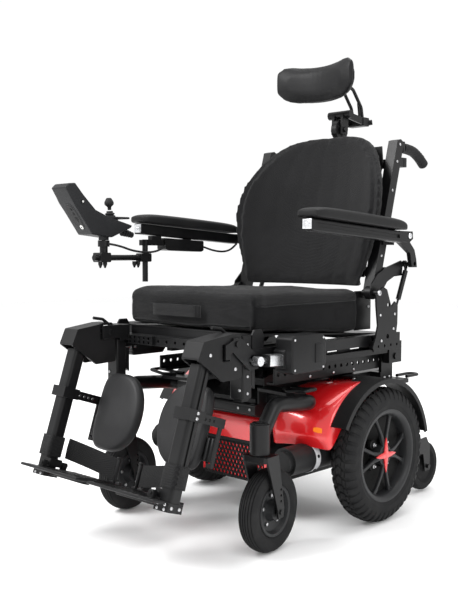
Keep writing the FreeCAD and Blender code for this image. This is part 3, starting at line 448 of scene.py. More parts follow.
def stuffed(obj, voxel, pressure, cap):
    """Remeshes a closed form, swells it as a sewn cover over foam, and limits how far it moves."""
    remesh = obj.modifiers.new("even", "REMESH")
    remesh.mode = "VOXEL"
    remesh.voxel_size = voxel
    remesh.use_smooth_shade = True
    settle(obj)
    start = [v.co.copy() for v in obj.data.vertices]
    cloth = obj.modifiers.new("cover", "CLOTH")
    cloth.settings.quality = 4
    cloth.settings.use_pressure = True
    cloth.settings.uniform_pressure_force = pressure
    cloth.settings.effector_weights.gravity = 0
    cloth.point_cache.frame_start = 1
    cloth.point_cache.frame_end = 20
    for number in range(1, 21):
        scene.frame_set(number)
    settle(obj)
    scene.frame_set(1)
    for v, was in zip(obj.data.vertices, start):
        move = v.co - was
        if move.length > cap:
            v.co = was + move * (cap / move.length)
    obj.data.update()


def furrow(obj, distance, depth, width):
    """Presses a sewn line into a cover; distance gives a point's distance from the line in metres."""
    normals = [v.normal.copy() for v in obj.data.vertices]
    for v, normal in zip(obj.data.vertices, normals):
        away = distance(v.co)
        if away < width * 3:
            v.co -= normal * depth * math.exp(-(away / width) ** 2)


def finer(obj, levels=1):
    obj.modifiers.new("finer", "SUBSURF").levels = levels
    settle(obj)


def dressed(obj, looks):
    obj.data.materials.clear()
    for look in looks:
        obj.data.materials.append(look.material)
    obj.data.shade_smooth()


def piping(name, cover, line, radius, look, body, slot, closed=False, lift=0.3):
    """A sewn cord that lies on a cover along a line of points in millimetres."""
    tree = BVHTree.FromPolygons([v.co for v in cover.data.vertices],
                                [p.vertices for p in cover.data.polygons])
    found = []
    for point in line:
        spot, normal, index, away = tree.find_nearest(to_frame @ Vector(point))
        found.append((spot + normal * radius * 0.001 * lift) * 1000 - Vector((0, drawing_shift, 0)))
    piece = Piece()
    loops = []
    count = len(found)
    for number, point in enumerate(found):
        before = found[number - 1] if closed or number else found[0]
        after = found[(number + 1) % count] if closed or number < count - 1 else found[-1]
        heading = (after - before).normalized()
        helper = Vector((0, 0, 1)) if abs(heading.z) < 0.8 else Vector((0, 1, 0))
        side = heading.cross(helper).normalized()
        rise = side.cross(heading)
        loops.append([point + side * a + rise * b for a, b in oval(radius, radius, 2, 8)])
    piece.loft(loops, wrap=closed)
    return piece.done(name, [look], body, slot, sharp=0)


# %% [markdown]
# ## The joystick cable
# Two lengths show: from the pod's clamp to the box under the armrest, and from the box on to the
# armrest's rear. Both go back into the object.
# %%
def free_cord(name, points, bodies):
    curve = bpy.data.curves.new(name, "CURVE")
    curve.dimensions = "3D"
    curve.bevel_depth = 0.003
    curve.bevel_resolution = 4
    spline = curve.splines.new("NURBS")
    spline.points.add(len(points) - 1)
    for knot, place in zip(spline.points, points):
        knot.co = (*place, 1.0)
    spline.order_u = 3
    spline.use_endpoint_u = True
    spline.resolution_u = 12
    curve.materials.append(grip_rubber.material)
    made = bpy.data.objects.new(name, curve)
    scene.collection.objects.link(made)
    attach(made, bodies)
    return made


cable_front = free_cord("cable_front", [
    (-0.2835, -0.2624, 0.732), (-0.274, -0.2504, 0.730), (-0.268, -0.2244, 0.724), (-0.268, -0.1904, 0.714),
    (-0.268, -0.1524, 0.709), (-0.269, -0.1144, 0.709), (-0.272, -0.0824, 0.715), (-0.279, -0.0544, 0.727),
], "arm_right")
cable_rear = free_cord("cable_rear", [
    (-0.292, 0.0996, 0.728), (-0.291, 0.1216, 0.722), (-0.289, 0.1516, 0.714), (-0.288, 0.1876, 0.710),
    (-0.289, 0.2176, 0.713), (-0.292, 0.2436, 0.723), (-0.296, 0.2636, 0.735),
], "arm_right")
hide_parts("joystick_cable")

# %% [markdown]
# ## Seat cushion
# A contoured foam cushion in a woven cover: crowned top, a front face with a webbing handle, and a
# plainer stretch panel round the sides below a piped seam.
# %%
seat_half = 225.0
seat_front = -277.0
seat_rear = 177.0


def seat_row(y, top, low, half):
    """The cushion's outline across the seat at y."""
    points = []
    for share in (-1.0, -0.97, -0.86, -0.6, -0.3, 0.0, 0.3, 0.6, 0.86, 0.97, 1.0):
        drop = 5.0 * (1 - math.cos(share * math.pi)) / 2 - 4.0 * math.cos(share * 2 * math.pi)
        fall = 12.0 if abs(share) == 1.0 else (2.5 if abs(share) > 0.95 else 0.0)
        points.append((share * half, y, top - drop * 0.5 - fall))
    points += [(half, y, (top + low) / 2), (half, y, low + 12), (half * 0.97, y, low + 2), (0, y, low),
               (-half * 0.97, y, low + 2), (-half, y, low + 12), (-half, y, (top + low) / 2)]
    return points


seat = Piece()
seat.loft([seat_row(y, top, low, half) for y, top, low, half in (
    (seat_front + 4, 586, 530, seat_half - 10), (seat_front, 600, 525, seat_half - 2),
    (seat_front + 6, 611, 523, seat_half + 1), (seat_front + 30, 617, 522, seat_half + 2),
    (-160, 615, 516, seat_half + 2), (-60, 611, 508, seat_half + 2), (60, 608, 500, seat_half + 2),
    (150, 607, 495, seat_half), (157, 606, 494, seat_half - 14), (seat_rear - 4, 604, 494, seat_half - 15),
    (seat_rear + 1, 594, 499, seat_half - 20))])
seat_cover = seat.done("seat_cover", [seat_cloth], "seat", "fabric", ("seat_cushion",))
stuffed(seat_cover, 0.007, 3.5, 0.005)
furrow(seat_cover, lambda p: abs(p.z - 0.580) + max(0.0, -0.24 - p.y) * 4, 0.0028, 0.0035)
finer(seat_cover)
dressed(seat_cover, [seat_cloth, side_cloth])
for face in seat_cover.data.polygons:
    if abs(face.normal.x) > 0.6 and face.center.z < 0.579 and face.center.y > -0.25:
        face.material_index = 1
seat_rim = [(-228, -262 + 16 * n, 580) for n in range(26)]
piping("seat_piping_right", seat_cover, seat_rim, 1.6, webbing, "seat", "fabric")
piping("seat_piping_left", seat_cover, [(-x, y, z) for x, y, z in seat_rim], 1.6, webbing, "seat", "fabric")
gusset = Piece()
gusset.plate([(150, 497), (226, 497), (226, 584), (212, 604), (150, 604)], (208.5, 211.5), 1.0)
gusset.bolt((211.5, 214, 560), (1, 0, 0), 4.0, 2.2, 1)
gusset.done("seat_gusset", [satin, zinc], "seat", "black_satin")
hem = [(-205 + 16.4 * n, -280, 531) for n in range(26)]
piping("seat_piping_front", seat_cover, hem, 1.8, webbing, "seat", "fabric")
handle = Piece()
handle_rows = []
for step in range(29):
    t = step / 28
    x = -123 + 180 * t
    off = 6.5 * min(1.0, min(t, 1 - t) * 9) ** 0.5 if 0.04 < t < 0.96 else 0.6
    y = seat_front - 4.5 - off
    handle_rows.append([(x, y, 548), (x, y - 1.5, 548.5), (x, y - 1.9, 563), (x, y - 1.5, 577.5), (x, y,
                                                                                                   578)])
handle.loft(handle_rows)
for x in (-119, -112, 46, 53):
    handle.rod((x, seat_front - 7.4, 550), (x, seat_front - 7.4, 576), 0.7, 0, 0.2, 8)
handle.done("seat_handle", [webbing], "seat", "fabric", sharp=50)

# %% [markdown]
# ## Back cushion
# Deeply curved, with wings, a rounded top and a charcoal weave.
# %%
recline = math.tan(math.radians(15.7))


def back_outline(z, half, depth, thick):
    """One level of the back cushion: hollow in the middle, wings forward, thin at the sides."""
    centre = 185.0 + (z - 610.0) * recline
    front = []
    rear = []
    shares = (-1.0, -0.93, -0.75, -0.5, -0.25, 0.0, 0.25, 0.5, 0.75, 0.93, 1.0)
    for share in shares:
        y = centre - depth * share * share + 2.0
        front.append(Vector((share * half, y, z)))
        rear.append(Vector((share * half, y + (thick - 4.0) * (1.0 - 0.36 * abs(share) ** 3), z)))
    limit = 196.0 + (z - 600.0) * recline - 28.0
    for front_point, rear_point in zip(front, rear):
        if abs(rear_point.x) > 203.0:
            rear_point.y = min(rear_point.y, limit)
            front_point.y = min(front_point.y, rear_point.y - 9.0)
    return front + rear[::-1]


back = Piece()
back.loft([back_outline(z, half, depth, 40.0) for z, half, depth in (
    (613, 200, 13), (625, 210, 20), (660, 223, 31), (700, 235, 43), (740, 247, 55), (790, 257, 67),
    (830, 260, 72), (870, 257, 74), (905, 249, 72), (940, 235, 64), (975, 214, 53), (1005, 188, 41),
    (1027, 158, 30), (1041, 126, 21), (1048, 92, 14), (1051, 62, 10))])
back_cover = back.done("back_cover", [back_cloth], "back", "cushion", ("back_cushion",))
stuffed(back_cover, 0.006, 3.5, 0.005)
finer(back_cover)
dressed(back_cover, [back_cloth])

# %% [markdown]
# ## Headrest pad
# %%
head = Piece()
head_rows = []
for step in range(15):
    share = -1.0 + 2.0 * step / 14
    x = share * 134.0
    y = 253.0 - 40.0 * share * share
    tall = 55.0 * (1.0 - abs(share) ** 8 * 0.42)
    deep = 21.0 * (1.0 - abs(share) ** 5 * 0.5)
    lift = 1199.0 + 13.0 * share * share
    head_rows.append([(x, y + 20 + deep * a, lift + tall * b) for a, b in oval(1.0, 1.0, 2.6, 24)])
head.loft(head_rows)
head_cover = head.done("headrest_cover", [head_skin], "headrest", "foam_skin", ("headrest_pad",))
stuffed(head_cover, 0.005, 2.0, 0.004)
finer(head_cover)
dressed(head_cover, [head_skin])
binding = [(134.0 * math.cos(a), 253.0 + 34.0 - 40.0 * math.cos(a) ** 2, 1204.0 + 54.0 * math.sin(a))
           for a in [2 * math.pi * n / 90 for n in range(90)]]
piping("headrest_binding", head_cover, binding, 1.6, plastic, "headrest", "foam_skin", True)
mount = Piece()
mount.block((-28, 294, 1192), (28, 301, 1234), 2.0)
mount.block((-9, 300, 1204), (9, 313, 1224), 1.5)
mount.rod((-12, 322, 1214), (12, 322, 1214), 14)
for x in (-19, 19):
    for z in (1200, 1226):
        mount.bolt((x, 301, z), (0, 1, 0), 4, 2.5)
mount.done("headrest_mount", [satin], "headrest", "black_satin")

# %% [markdown]
# ## Armrest pads
# %%
arm_fall = math.tan(math.radians(3.65))


def arm_height(y, lift):
    return 793.0 - (y + 190.0) * arm_fall + lift


def armrest_cover(side, body):
    """A long pad with a rounded nose, flat below."""
    rows = []
    for y, thick, half in ((-178, 12, 27), (-172, 20, 32), (-158, 25, 35), (-122, 28, 36), (-30, 29, 36),
                           (110, 29, 36), (176, 28, 36), (202, 25, 35), (213, 19, 32), (217, 11, 26)):
        base = arm_height(y, 0.5 + (6.0 if y in (-178, 217) else 0.0))
        rows.append([(304 + half * a, y, base + (thick * (b + 0.62) / 1.62 if b > -0.62 else 0.0))
                     for a, b in oval(1.0, 1.0, 3.4, 32)])
    pad = Piece()
    pad.loft(rows)
    made = pad.done("armrest_cover_" + body[4:], [pad_skin], body, "foam_skin",
                    ("armrest_pad_" + body[4:],), side, sharp=60, smooth=2)


armrest_cover(1, "arm_left")
armrest_cover(-1, "arm_right")


# %% [markdown]
# ## Legs: calf pads, footboards and heel straps
# The lower legs are drawn square to the shin tube and then leaned with it.
# %%
shin = Matrix.Translation((0, -553.0, 152.0)) @ Matrix.Rotation(math.radians(-18.5), 4, "X")


def in_leg(x, ahead, up):
    """A point given across, ahead of and up the shin tube."""
    return shin @ Vector((x, -ahead, up))


def calf_pad(side, body):
    """A D-shaped pad with a straight outer edge, on its hinge leaf."""
    outline = []
    for step in range(40):
        a = 2 * math.pi * step / 40
        c, s = math.cos(a), math.sin(a)
        x = 122.0 + (72.0 * abs(c) ** 0.34 if c > 0 else -84.0 * abs(c) ** 0.95)
        outline.append((x, 193.0 + 100.0 * math.copysign(abs(s) ** (0.6 if c > 0 else 0.95), s)))
    middle = Vector((124.0, 193.0))
    rows = []
    for depth, share in ((-82, 0.86), (-84, 0.94), (-90, 0.985), (-98, 1.0), (-106, 0.985), (-112, 0.93),
                         (-114, 0.84)):
        rows.append([in_leg(middle.x + (x - middle.x) * share, depth, middle.y + (z - middle.y) * share)
                     for x, z in outline])
    pad = Piece()
    pad.loft(rows)
    name = "calf_cover_" + body[5:]
    made = pad.done(name, [calf_skin], body, "foam_skin", ("calf_pad_" + body[5:],), side, sharp=60,
                    smooth=1)
    leaf = Piece()
    leaf.block((120, 114.2, 123), (204, 118, 177), 1.0, turn=shin)
    leaf.block((198, 100, 123), (206, 118, 177), 1.0, turn=shin)
    leaf.block((203, 104, 123), (212, 114, 177), 1.0, turn=shin)
    leaf.rod(in_leg(212, -109, 123), in_leg(212, -109, 177), 6.5)
    for z in (135, 165):
        leaf.bolt(in_leg(150, -118, z), shin.to_3x3() @ Vector((0, 1, 0)), 4, 2.5)
    leaf.done("calf_leaf_" + body[5:], [satin], body, "black_satin", (), side)


def footboard(side, body):
    """Footplate with a ribbed top, rolled edges, hinge knuckles, heel post and strap."""
    board = Piece()
    board.block((20, -66, 17), (198, 74, 24), 2.2, turn=shin, segments=3)
    for number in range(9):
        x = 34 + number * 18.5
        board.block((x, -58, 23.4), (x + 5, 64, 25.2), 0.6, turn=shin)
    board.block((196, -66, 17), (244, -30, 24), 2.0, turn=shin)
    board.block((193, -38, 17), (207, -24, 42), 3.0, turn=shin)
    board.block((193, 24, 17), (207, 38, 42), 3.0, turn=shin)
    board.block((60, -10, 8), (200, 10, 18), 1.5, turn=shin)
    board.rod(in_leg(40, -68, 20), in_leg(40, -66, 84), 5)
    board.rod(in_leg(40, -66, 82), in_leg(40, -66, 87), 6.4)
    board.block((22, 66, 15), (60, 76, 30), 3.0, turn=shin)
    side_name = body[10:]
    board.done("footboard_" + side_name, [satin], body, "black_satin", ("footplate_" + side_name,), side)
    strap = Piece()
    rows = []
    for step in range(25):
        t = step / 24
        sag = 16.0 * math.sin(math.pi * t)
        place = (46 + 152 * t, -68 + 40 * t - sag * 0.5, 31 + 22 * t)
        tall = 51.0
        twist = 2.0 * math.sin(t * 7)
        rows.append([in_leg(place[0], place[1] + 1.2, place[2]), in_leg(place[0], place[1] + 1.4 + twist,
                                                                        place[2] + tall / 2),
                     in_leg(place[0], place[1] + 1.2, place[2] + tall), in_leg(place[0], place[1] - 1.2,
                                                                               place[2] + tall),
                     in_leg(place[0], place[1] - 1.0 + twist, place[2] + tall / 2), in_leg(place[0],
                                                                                           place[1] - 1.2,
                                                                                           place[2])])
    strap.loft(rows)
    made = strap.done("heel_strap_" + side_name, [webbing], body, "fabric", (), side, sharp=50)
    cuff = Piece()
    rows = []
    for across, ahead in oval(21.4, 20.4, 5.0, 40):
        rows.append([in_leg(225 + across, ahead, 52), in_leg(225 + across * 1.07, ahead * 1.08, 52),
                     in_leg(225 + across * 1.08, ahead * 1.09, 77), in_leg(225 + across * 1.07,
                                                                           ahead * 1.08, 103),
                     in_leg(225 + across, ahead, 103)])
    cuff.loft(rows, wrap=True)
    cuff.block((245, -14, 56), (249, 14, 99), 1.0, turn=shin)
    cuff.done("strap_cuff_" + side_name, [webbing], "leg_" + side_name, "fabric", (), side, sharp=50)


for side, word in ((1, "left"), (-1, "right")):
    calf_pad(side, "calf_" + word)
    footboard(side, "footboard_" + word)

# %% [markdown]
# ## Drive wheels
# Carcass and sidewall are one turned ring; the tread is a row of chevrons between two rows of
# long shoulder lugs. The rim has four pairs of thin spokes and a red four-pointed cap.
# %%
axle = Vector((304.0, 130.0, 178.0))


def wheel_point(x, radius, degrees):
    a = math.radians(degrees)
    return axle + Vector((x, -radius * math.sin(a), radius * math.cos(a)))


def crown(x):
    """Outer radius of the tread at x across the tyre."""
    steps = ((0, 178.0), (21, 175.0), (30, 166.0), (35, 152.0))
    away = abs(x)
    for (x0, r0), (x1, r1) in zip(steps, steps[1:]):
        if away <= x1:
            return r0 + (r1 - r0) * (away - x0) / (x1 - x0)
    return 152.0


def lug(piece, cuts, centre, wide, skew):
    """One tread block: cuts are places across the tyre, skewed forward by skew degrees per mm."""
    loops = []
    for x in cuts:
        middle = centre + abs(x) * skew
        top = crown(x)
        deep = 5.5
        loops.append([wheel_point(x, top - deep, middle - wide * 0.58), wheel_point(x, top - 0.5,
                                                                                    middle - wide / 2),
                      wheel_point(x, top, middle - wide * 0.38), wheel_point(x, top, middle + wide * 0.38),
                      wheel_point(x, top - 0.5, middle + wide / 2), wheel_point(x, top - deep,
                                                                                middle + wide * 0.58)])
    piece.loft(loops)


def drive_tyre(side, word):
    tyre = Piece()
    tyre.lathe([(-26, 118), (-31, 121), (-33, 131), (-34.4, 133), (-34.4, 135), (-34.6, 146), (-32, 156),
                (-27, 164),
                (-18, 170), (0, 173), (18, 170), (27, 164), (32, 156), (34.6, 146), (34.4, 135), (34.4,
                                                                                                  133),
                (33, 131), (31, 121), (26, 118)], axle, (1, 0, 0), 128)
    count = 46
    pitch = 360 / count
    for number in range(count):
        at = number * pitch
        lug(tyre, (-7.5, 0, 7.5), at, 5.2, 0.22)
        lug(tyre, (9.5, 13, 17.5), at + 1.0, 5.0, 0.22)
        lug(tyre, (-17.5, -13, -9.5), at + 1.0, 5.0, 0.22)
        lug(tyre, (19.5, 24, 29, 33, 34.8), at + 3.4, 4.4, 0.02)
        lug(tyre, (-34.8, -33, -29, -24, -19.5), at + 3.4, 4.4, 0.02)
    tyre.done("tyre_" + word, [tyre_rubber], "drive_wheel_" + word, "tyre", ("drive_tyre_" + word,), side,
              sharp=30)


def spoke(piece, at, lean, look=0):
    """One thin spoke from the hub to the rim, wider at both ends."""
    loops = []
    for share, half in ((0.0, 9.0), (0.12, 6.4), (0.4, 4.2), (0.8, 4.6), (0.94, 7.0), (1.0, 12.0)):
        radius = 22 + share * 86
        middle = at + lean * share ** 0.85
        wide = math.degrees(half / radius)
        face = 25 - 9 * share
        loops.append([wheel_point(face - 9, radius, middle - wide), wheel_point(face - 1.5, radius,
                                                                                middle - wide),
                      wheel_point(face, radius, middle - wide * 0.7), wheel_point(face, radius,
                                                                                  middle + wide * 0.7),
                      wheel_point(face - 1.5, radius, middle + wide), wheel_point(face - 9, radius,
                                                                                  middle + wide)])
    piece.loft(loops, look)


def drive_rim(side, word):
    rim = Piece()
    rim.lathe([(-28, 117.6), (-29, 122), (-31, 121), (-30, 112), (-22, 105), (20, 105), (25, 108), (30,
                                                                                                    112),
                                                                                                    (31.5,
                                                                                                     117),
               (31.5, 121.5), (28.5, 123), (26, 117.6)], axle, (1, 0, 0), 96)
    # The inner dish behind the spokes is drawn in painted shade.
    rim.lathe([(-20, 14), (-20, 60), (-12, 64), (-4, 104.5), (-1, 104.5), (-8, 62), (-12, 56), (-12, 14)],
              axle,
              (1, 0, 0), 64, 1)
    rim.rod(axle + Vector((-24, 0, 0)), axle + Vector((23, 0, 0)), 27, steps=48)
    for quarter in range(4):
        for lean in (-1, 1):
            spoke(rim, quarter * 90 + lean * 7, lean * 13)
    for quarter in range(4):
        place = wheel_point(4, 40, quarter * 90 + 45)
        # Each wheel bolt sits in a pocket of painted shade.
        rim.rod(place - Vector((14, 0, 0)), place, 13, 1, 2.0)
        rim.rod(place, place + Vector((5, 0, 0)), 6.2, 2, 1.2, 6)
        rim.rod(place + Vector((4, 0, 0)), place + Vector((9, 0, 0)), 3.2, 2, 0.8, 16)
    body = "drive_wheel_" + word
    rim.done("rim_" + word, [rim_paint, painted_hollow_shade, zinc], body, "rim", ("drive_rim_" + word,), side)
    star = Piece()
    edge = []
    for step in range(64):
        a = 360 * step / 64
        fold = abs(((a + 45) % 90) - 45) / 45
        edge.append((a, 13 + 33 * (1 - fold) ** 2.6))
    star.loft([[wheel_point(x, r * grow, a) for a, r in edge] for x, grow in (
        (24.0, 1.0), (26.5, 1.0), (27.6, 0.9), (28.4, 0.5), (28.6, 0.2))])
    star.done("hub_star_" + word, [red], body, "red_gloss", (), side)


for side, word in ((1, "left"), (-1, "right")):
    drive_tyre(side, word)
    drive_rim(side, word)


# %% [markdown]
# ## Caster and anti-tip wheels
# %%
def caster_wheel(side, word):
    """Grooved caster tyre on a dished rim with zinc bolts, turned with its fork."""
    turn = Matrix.Translation((257 * side, -288, 0)) @ Matrix.Rotation(math.radians(6), 4, "Z")
    hub = turn @ Vector((0, 36, 100))
    across = turn.to_3x3() @ Vector((1, 0, 0))
    tread = [(-16, 62), (-19, 63), (-22.6, 70), (-24, 80), (-23.2, 87), (-20.5, 92.5), (-18, 95.3), (-17.2,
                                                                                                     93.2),
             (-16.2, 93.4), (-15.6, 96.6), (-11.4, 98.4), (-10.8, 95.8), (-9.6, 95.9), (-9.0, 99.0), (-4.4,
                                                                                                      99.9),
             (-3.8, 97.2), (-2.6, 97.2), (-2.0, 100)]
    outline = tread + [(-s, r) for s, r in tread[::-1]]
    tyre = Piece()
    tyre.lathe(outline, hub, across, 96)
    body = "caster_wheel_" + word
    tyre.done("caster_tread_" + word, [tyre_rubber], body, "tyre", ("caster_tyre_" + word,), sharp=25)
    rim = Piece()
    rim.lathe([(-20, 62), (-21.5, 60), (-20, 54), (-9, 49), (-7, 44), (-7, 27), (-13, 23), (-24.4, 21),
               (-24.4, 8),
               (24.4, 8), (24.4, 21), (13, 23), (7, 27), (7, 44), (9, 49), (20, 54), (21.5, 60), (20, 62)],
               hub,
              across, 64)
    for number in range(5):
        a = math.radians(72 * number + 20)
        spot = hub + (turn.to_3x3() @ Vector((0, 35.5 * math.cos(a), 35.5 * math.sin(a))))
        for way in (-1, 1):
            start = spot + across * 7 * way
            rim.rod(start, start + across * 4 * way, 4.6, 1, 0.8, 6)
    rim.done("caster_disc_" + word, [rim_paint, zinc], body, "rim", ("caster_rim_" + word,))


def tip_wheel(side, word):
    """Solid anti-tip wheel with a dished, slotted web; the slots are thin near-black sheets of painted shade.
    """
    hub = Vector((235, 463, 77))
    wheel = Piece()
    half = [(-14, 6.2), (-14, 15), (-8, 18), (-6, 46), (-13, 52), (-14, 60), (-13.4, 66), (-9, 70.6), (-4,
                                                                                                       71.8)]
    wheel.lathe(half + [(-s, r) for s, r in half[::-1]], hub, (1, 0, 0), 72)
    for number in range(5):
        a = math.radians(72 * number)
        for way in (-1, 1):
            points = []
            for radius, swing in ((24, -14), (40, -15), (42, 0), (40, 15), (24, 14), (23, 0)):
                b = a + math.radians(swing)
                points.append(Vector((0, radius * math.sin(b), radius * math.cos(b))))
            low = [hub + p + Vector((way * 6.3, 0, 0)) for p in points]
            high = [hub + p + Vector((way * 6.9, 0, 0)) for p in points]
            # Each slot is a thin sheet of painted shade.
            wheel.loft([low, high], 1)
    wheel.done("tip_tread_" + word, [tyre_rubber, painted_hollow_shade], "tip_wheel_" + word, "tyre",
               ("antitip_wheel_" + word,), side, sharp=30)


for side, word in ((1, "left"), (-1, "right")):
    caster_wheel(side, word)
    tip_wheel(side, word)

# %% [markdown]
# ## Base: red shrouds and grille
# %%
def shroud_section(x, lip, nose, shoulder, crown_point, wall):
    """A closed strip: the painted outside down the front, and its inside."""
    outside = [Vector((x, *lip)), Vector((x, *nose)), Vector((x, *shoulder)), Vector((x, *crown_point)),
               Vector((x, 120.0, crown_point[1] + 4.0)), Vector((x, 176.0, crown_point[1] + 4.0))]
    line = through(outside, 7)
    inside = []
    for number, point in enumerate(line):
        before = line[max(number - 1, 0)]
        after = line[min(number + 1, len(line) - 1)]
        run = (after - before).normalized()
        inside.append(point + Vector((0, run.z, -run.y)) * wall)
    return line + inside[::-1]


def shroud_rows():
    """Sections from the middle out, with a swelling front corner that meets the fender."""
    keys = [
        (120, (-99, 214), (-101, 258), (-76, 320), (10, 356)),
        (150, (-97, 218), (-104, 260), (-77, 323), (10, 359)),
        (190, (-92, 222), (-105, 261), (-76, 325), (12, 363)),
        (232, (-85, 221), (-99, 259), (-67, 323), (19, 367)),
        (268, (-76, 218), (-88, 257), (-57, 317), (28, 369)),
        (292, (-67, 216), (-74, 256), (-47, 311), (35, 370)),
        (297, (-62, 219), (-66, 256), (-41, 307), (40, 368)),
    ]
    return [shroud_section(x, lip, nose, shoulder, top, 3.0) for x, lip, nose, shoulder, top in keys]


for side, word in ((1, "left"), (-1, "right")):
    shroud = Piece()
    shroud.loft(shroud_rows())
    stands = ("red_shrouds",) if side == 1 else ()
    made = shroud.done("shroud_" + word, [red], "base", "red_gloss", stands, side, sharp=70, smooth=2)
    tree = BVHTree.FromPolygons([v.co for v in made.data.vertices],
                                [p.vertices for p in made.data.polygons])
    lens = Piece()
    rows = []
    for x, low, high in ((262, 268, 276), (268, 265, 279), (280, 264, 280), (290, 265, 278)):
        row = []
        for share in (0.0, 0.33, 0.67, 1.0):
            spot, normal, index, away = tree.find_nearest(to_frame @ Vector((x * side, -100,
                                                                             low + (high - low) * share)))
            row.append(((spot - Vector((0, 0.0006, 0))) * 1000 - Vector((0, drawing_shift, 0))))
        rows.append([Vector((p.x * side, p.y, p.z)) for p in row])
    lens.loft(rows, caps=False, open_loop=True)
    lens.done("side_reflector_" + word, [amber], "base", "red_gloss", (), side, sharp=0)

band = Piece()
band.loft([[(x, -95, 211), (x, -101, 211), (x, -101.5, 236), (x, -101, 262), (x, -99, 272), (x, -95, 276)]
           for x in (-118, -117, -40, 40, 117, 118)])
for x in (-112, 112):
    band.block((x - 4, -102.5, 112), (x + 4, -101, 206), 0.7)
band.done("front_band", [red], "base", "red_gloss", sharp=50)


def honeycomb(name, x_range, z_range, y, pitch, share):
    """A black panel with hexagonal openings and a red sheet behind."""
    panel = Piece()
    rise = pitch * 0.866
    rows = int((z_range[1] - z_range[0] - pitch) / rise)
    columns = int((x_range[1] - x_range[0] - pitch) / pitch)
    radius = pitch / math.sqrt(3)
    for row in range(rows):
        for column in range(columns - row % 2):
            x = x_range[0] + pitch * (1 + column + 0.5 * (row % 2))
            z = z_range[0] + pitch * 0.75 + row * rise
            corners = [(math.sin(math.radians(60 * k)), math.cos(math.radians(60 * k))) for k in range(6)]
            outer = [(x + radius * a, y, z + radius * b) for a, b in corners]
            lip = [(x + radius * share * a, y, z + radius * share * b) for a, b in corners]
            deep = [(x + radius * share * a, y + 3.5, z + radius * share * b) for a, b in corners]
            panel.loft([outer, lip, deep], caps=False)
            panel.face([panel.mesh.verts.new(p) for p in deep], 1)
    for low, high in (((x_range[0], z_range[0]), (x_range[1], z_range[0] + pitch * 0.3)),
                      ((x_range[0], z_range[1] - pitch * 0.55), (x_range[1], z_range[1])),
                      ((x_range[0], z_range[0]), (x_range[0] + pitch * 0.6, z_range[1])),
                      ((x_range[1] - pitch * 0.6, z_range[0]), (x_range[1], z_range[1]))):
        panel.block((low[0], y - 0.4, low[1]), (high[0], y + 4.0, high[1]), 0.8)
    panel.block((x_range[0] + 1, y + 3.6, z_range[0] + 1), (x_range[1] - 1, y + 5.0, z_range[1] - 1), 0.2)
    return panel.done(name, [plastic, red], "base", "black_plastic", ("front_grille",), sharp=30)


honeycomb("grille", (-117.0, 117.0), (104.0, 210.0), -100.6, 13.0, 0.66)

for side, word in ((1, "left"), (-1, "right")):
    ring = Piece()
    ring.lathe([(-81, 36), (-81, 38.6), (-63, 38.6), (-63, 36)], (225, 0, 192), (0, 1, 0), 64)
    for degrees in range(20, 360, 60):
        a = math.radians(degrees)
        spot = Vector((225 + 38.2 * math.sin(a), -72, 192 + 38.2 * math.cos(a)))
        ring.rod(spot, spot + Vector((math.sin(a), 0, math.cos(a))) * 1.6, 4.5, 1, 0.5, 16)
    ring.done("motor_band_" + word, [pale_band, plastic], "base", "motor", (), side)

# %% [markdown]
# ## Leg actuators
# A black gear case and a square aluminium tube that the push rod runs in.
# %%
def leg_actuator(side, word):
    back_pin = Vector((272, -82, 451))
    front_eye = Vector((272, -313, 461))
    run = (front_eye - back_pin).normalized()
    unit = Piece()
    unit.plate([(-236, 430), (-236, 508), (-228, 515), (-120, 515), (-107, 500), (-107, 440), (-120, 424),
                (-229, 424)], (259, 311), 4.5, 0, 3)
    unit.plate([(-240, 440), (-240, 478), (-232, 484), (-232, 434)], (256, 290), 2.0, 0)
    unit.plate([(-150, 446), (-150, 492), (-126, 492), (-118, 480), (-118, 452), (-126, 446)], (310, 313),
               1.2, 0)
    section = oval(14.0, 14.0, 7.0, 40)
    unit.sweep([back_pin + run * d for d in (140, 170, 204)], section, 1)
    unit.sweep([back_pin + run * d for d in (203.5, 205, 208)], oval(14.4, 14.4, 6.0, 40), 0)
    unit.plate([(-112, 441), (-84, 441), (-84, 461), (-112, 461)], (264, 280), 1.0, 0)
    unit.rod((262, -82, 451), (284, -82, 451), 13)
    for y in (-226, -118):
        for z in (434, 505):
            unit.bolt((311, y, z), (1, 0, 0), 3.0, 1.4, 2)
    unit.done("leg_drive_" + word, [plastic, brushed, zinc], "leg_jack_" + word, "black_plastic",
              ("leg_actuator_" + word,), side)


for side, word in ((1, "left"), (-1, "right")):
    leg_actuator(side, word)

# %% [markdown]
# ## Joystick pod, gaiter and knob
# %%
pod = Piece()
pod.plate([(-442, 877), (-430, 888), (-410, 890), (-348, 818), (-306, 806), (-217, 783), (-222, 776), (-289,
                                                                                                       749),
           (-356, 756), (-417, 839)], (-340, -276), 5.0, 0, 4)
pod.rod((-300, -300, 741.6), (-300, -300, 760), 14)
for number in range(5):
    y = -234 + number * 8
    pod.rod((-302, y, 765.5 - number * 1.9), (-302, y + 5, 764.3 - number * 1.9), 11.5 - number * 0.8, 1,
            1.4)
pod.rod((-302, -236, 766), (-302, -197, 757), 7.5, 1, 1.0)
face_top = Vector((-308, -417, 839))
face_low = Vector((-308, -356, 756))
slope = (face_low - face_top).normalized()
outward = Vector((0, slope.z, -slope.y))


def on_face(across, along, out):
    return face_top + Vector((across, 0, 0)) + slope * along + outward * out


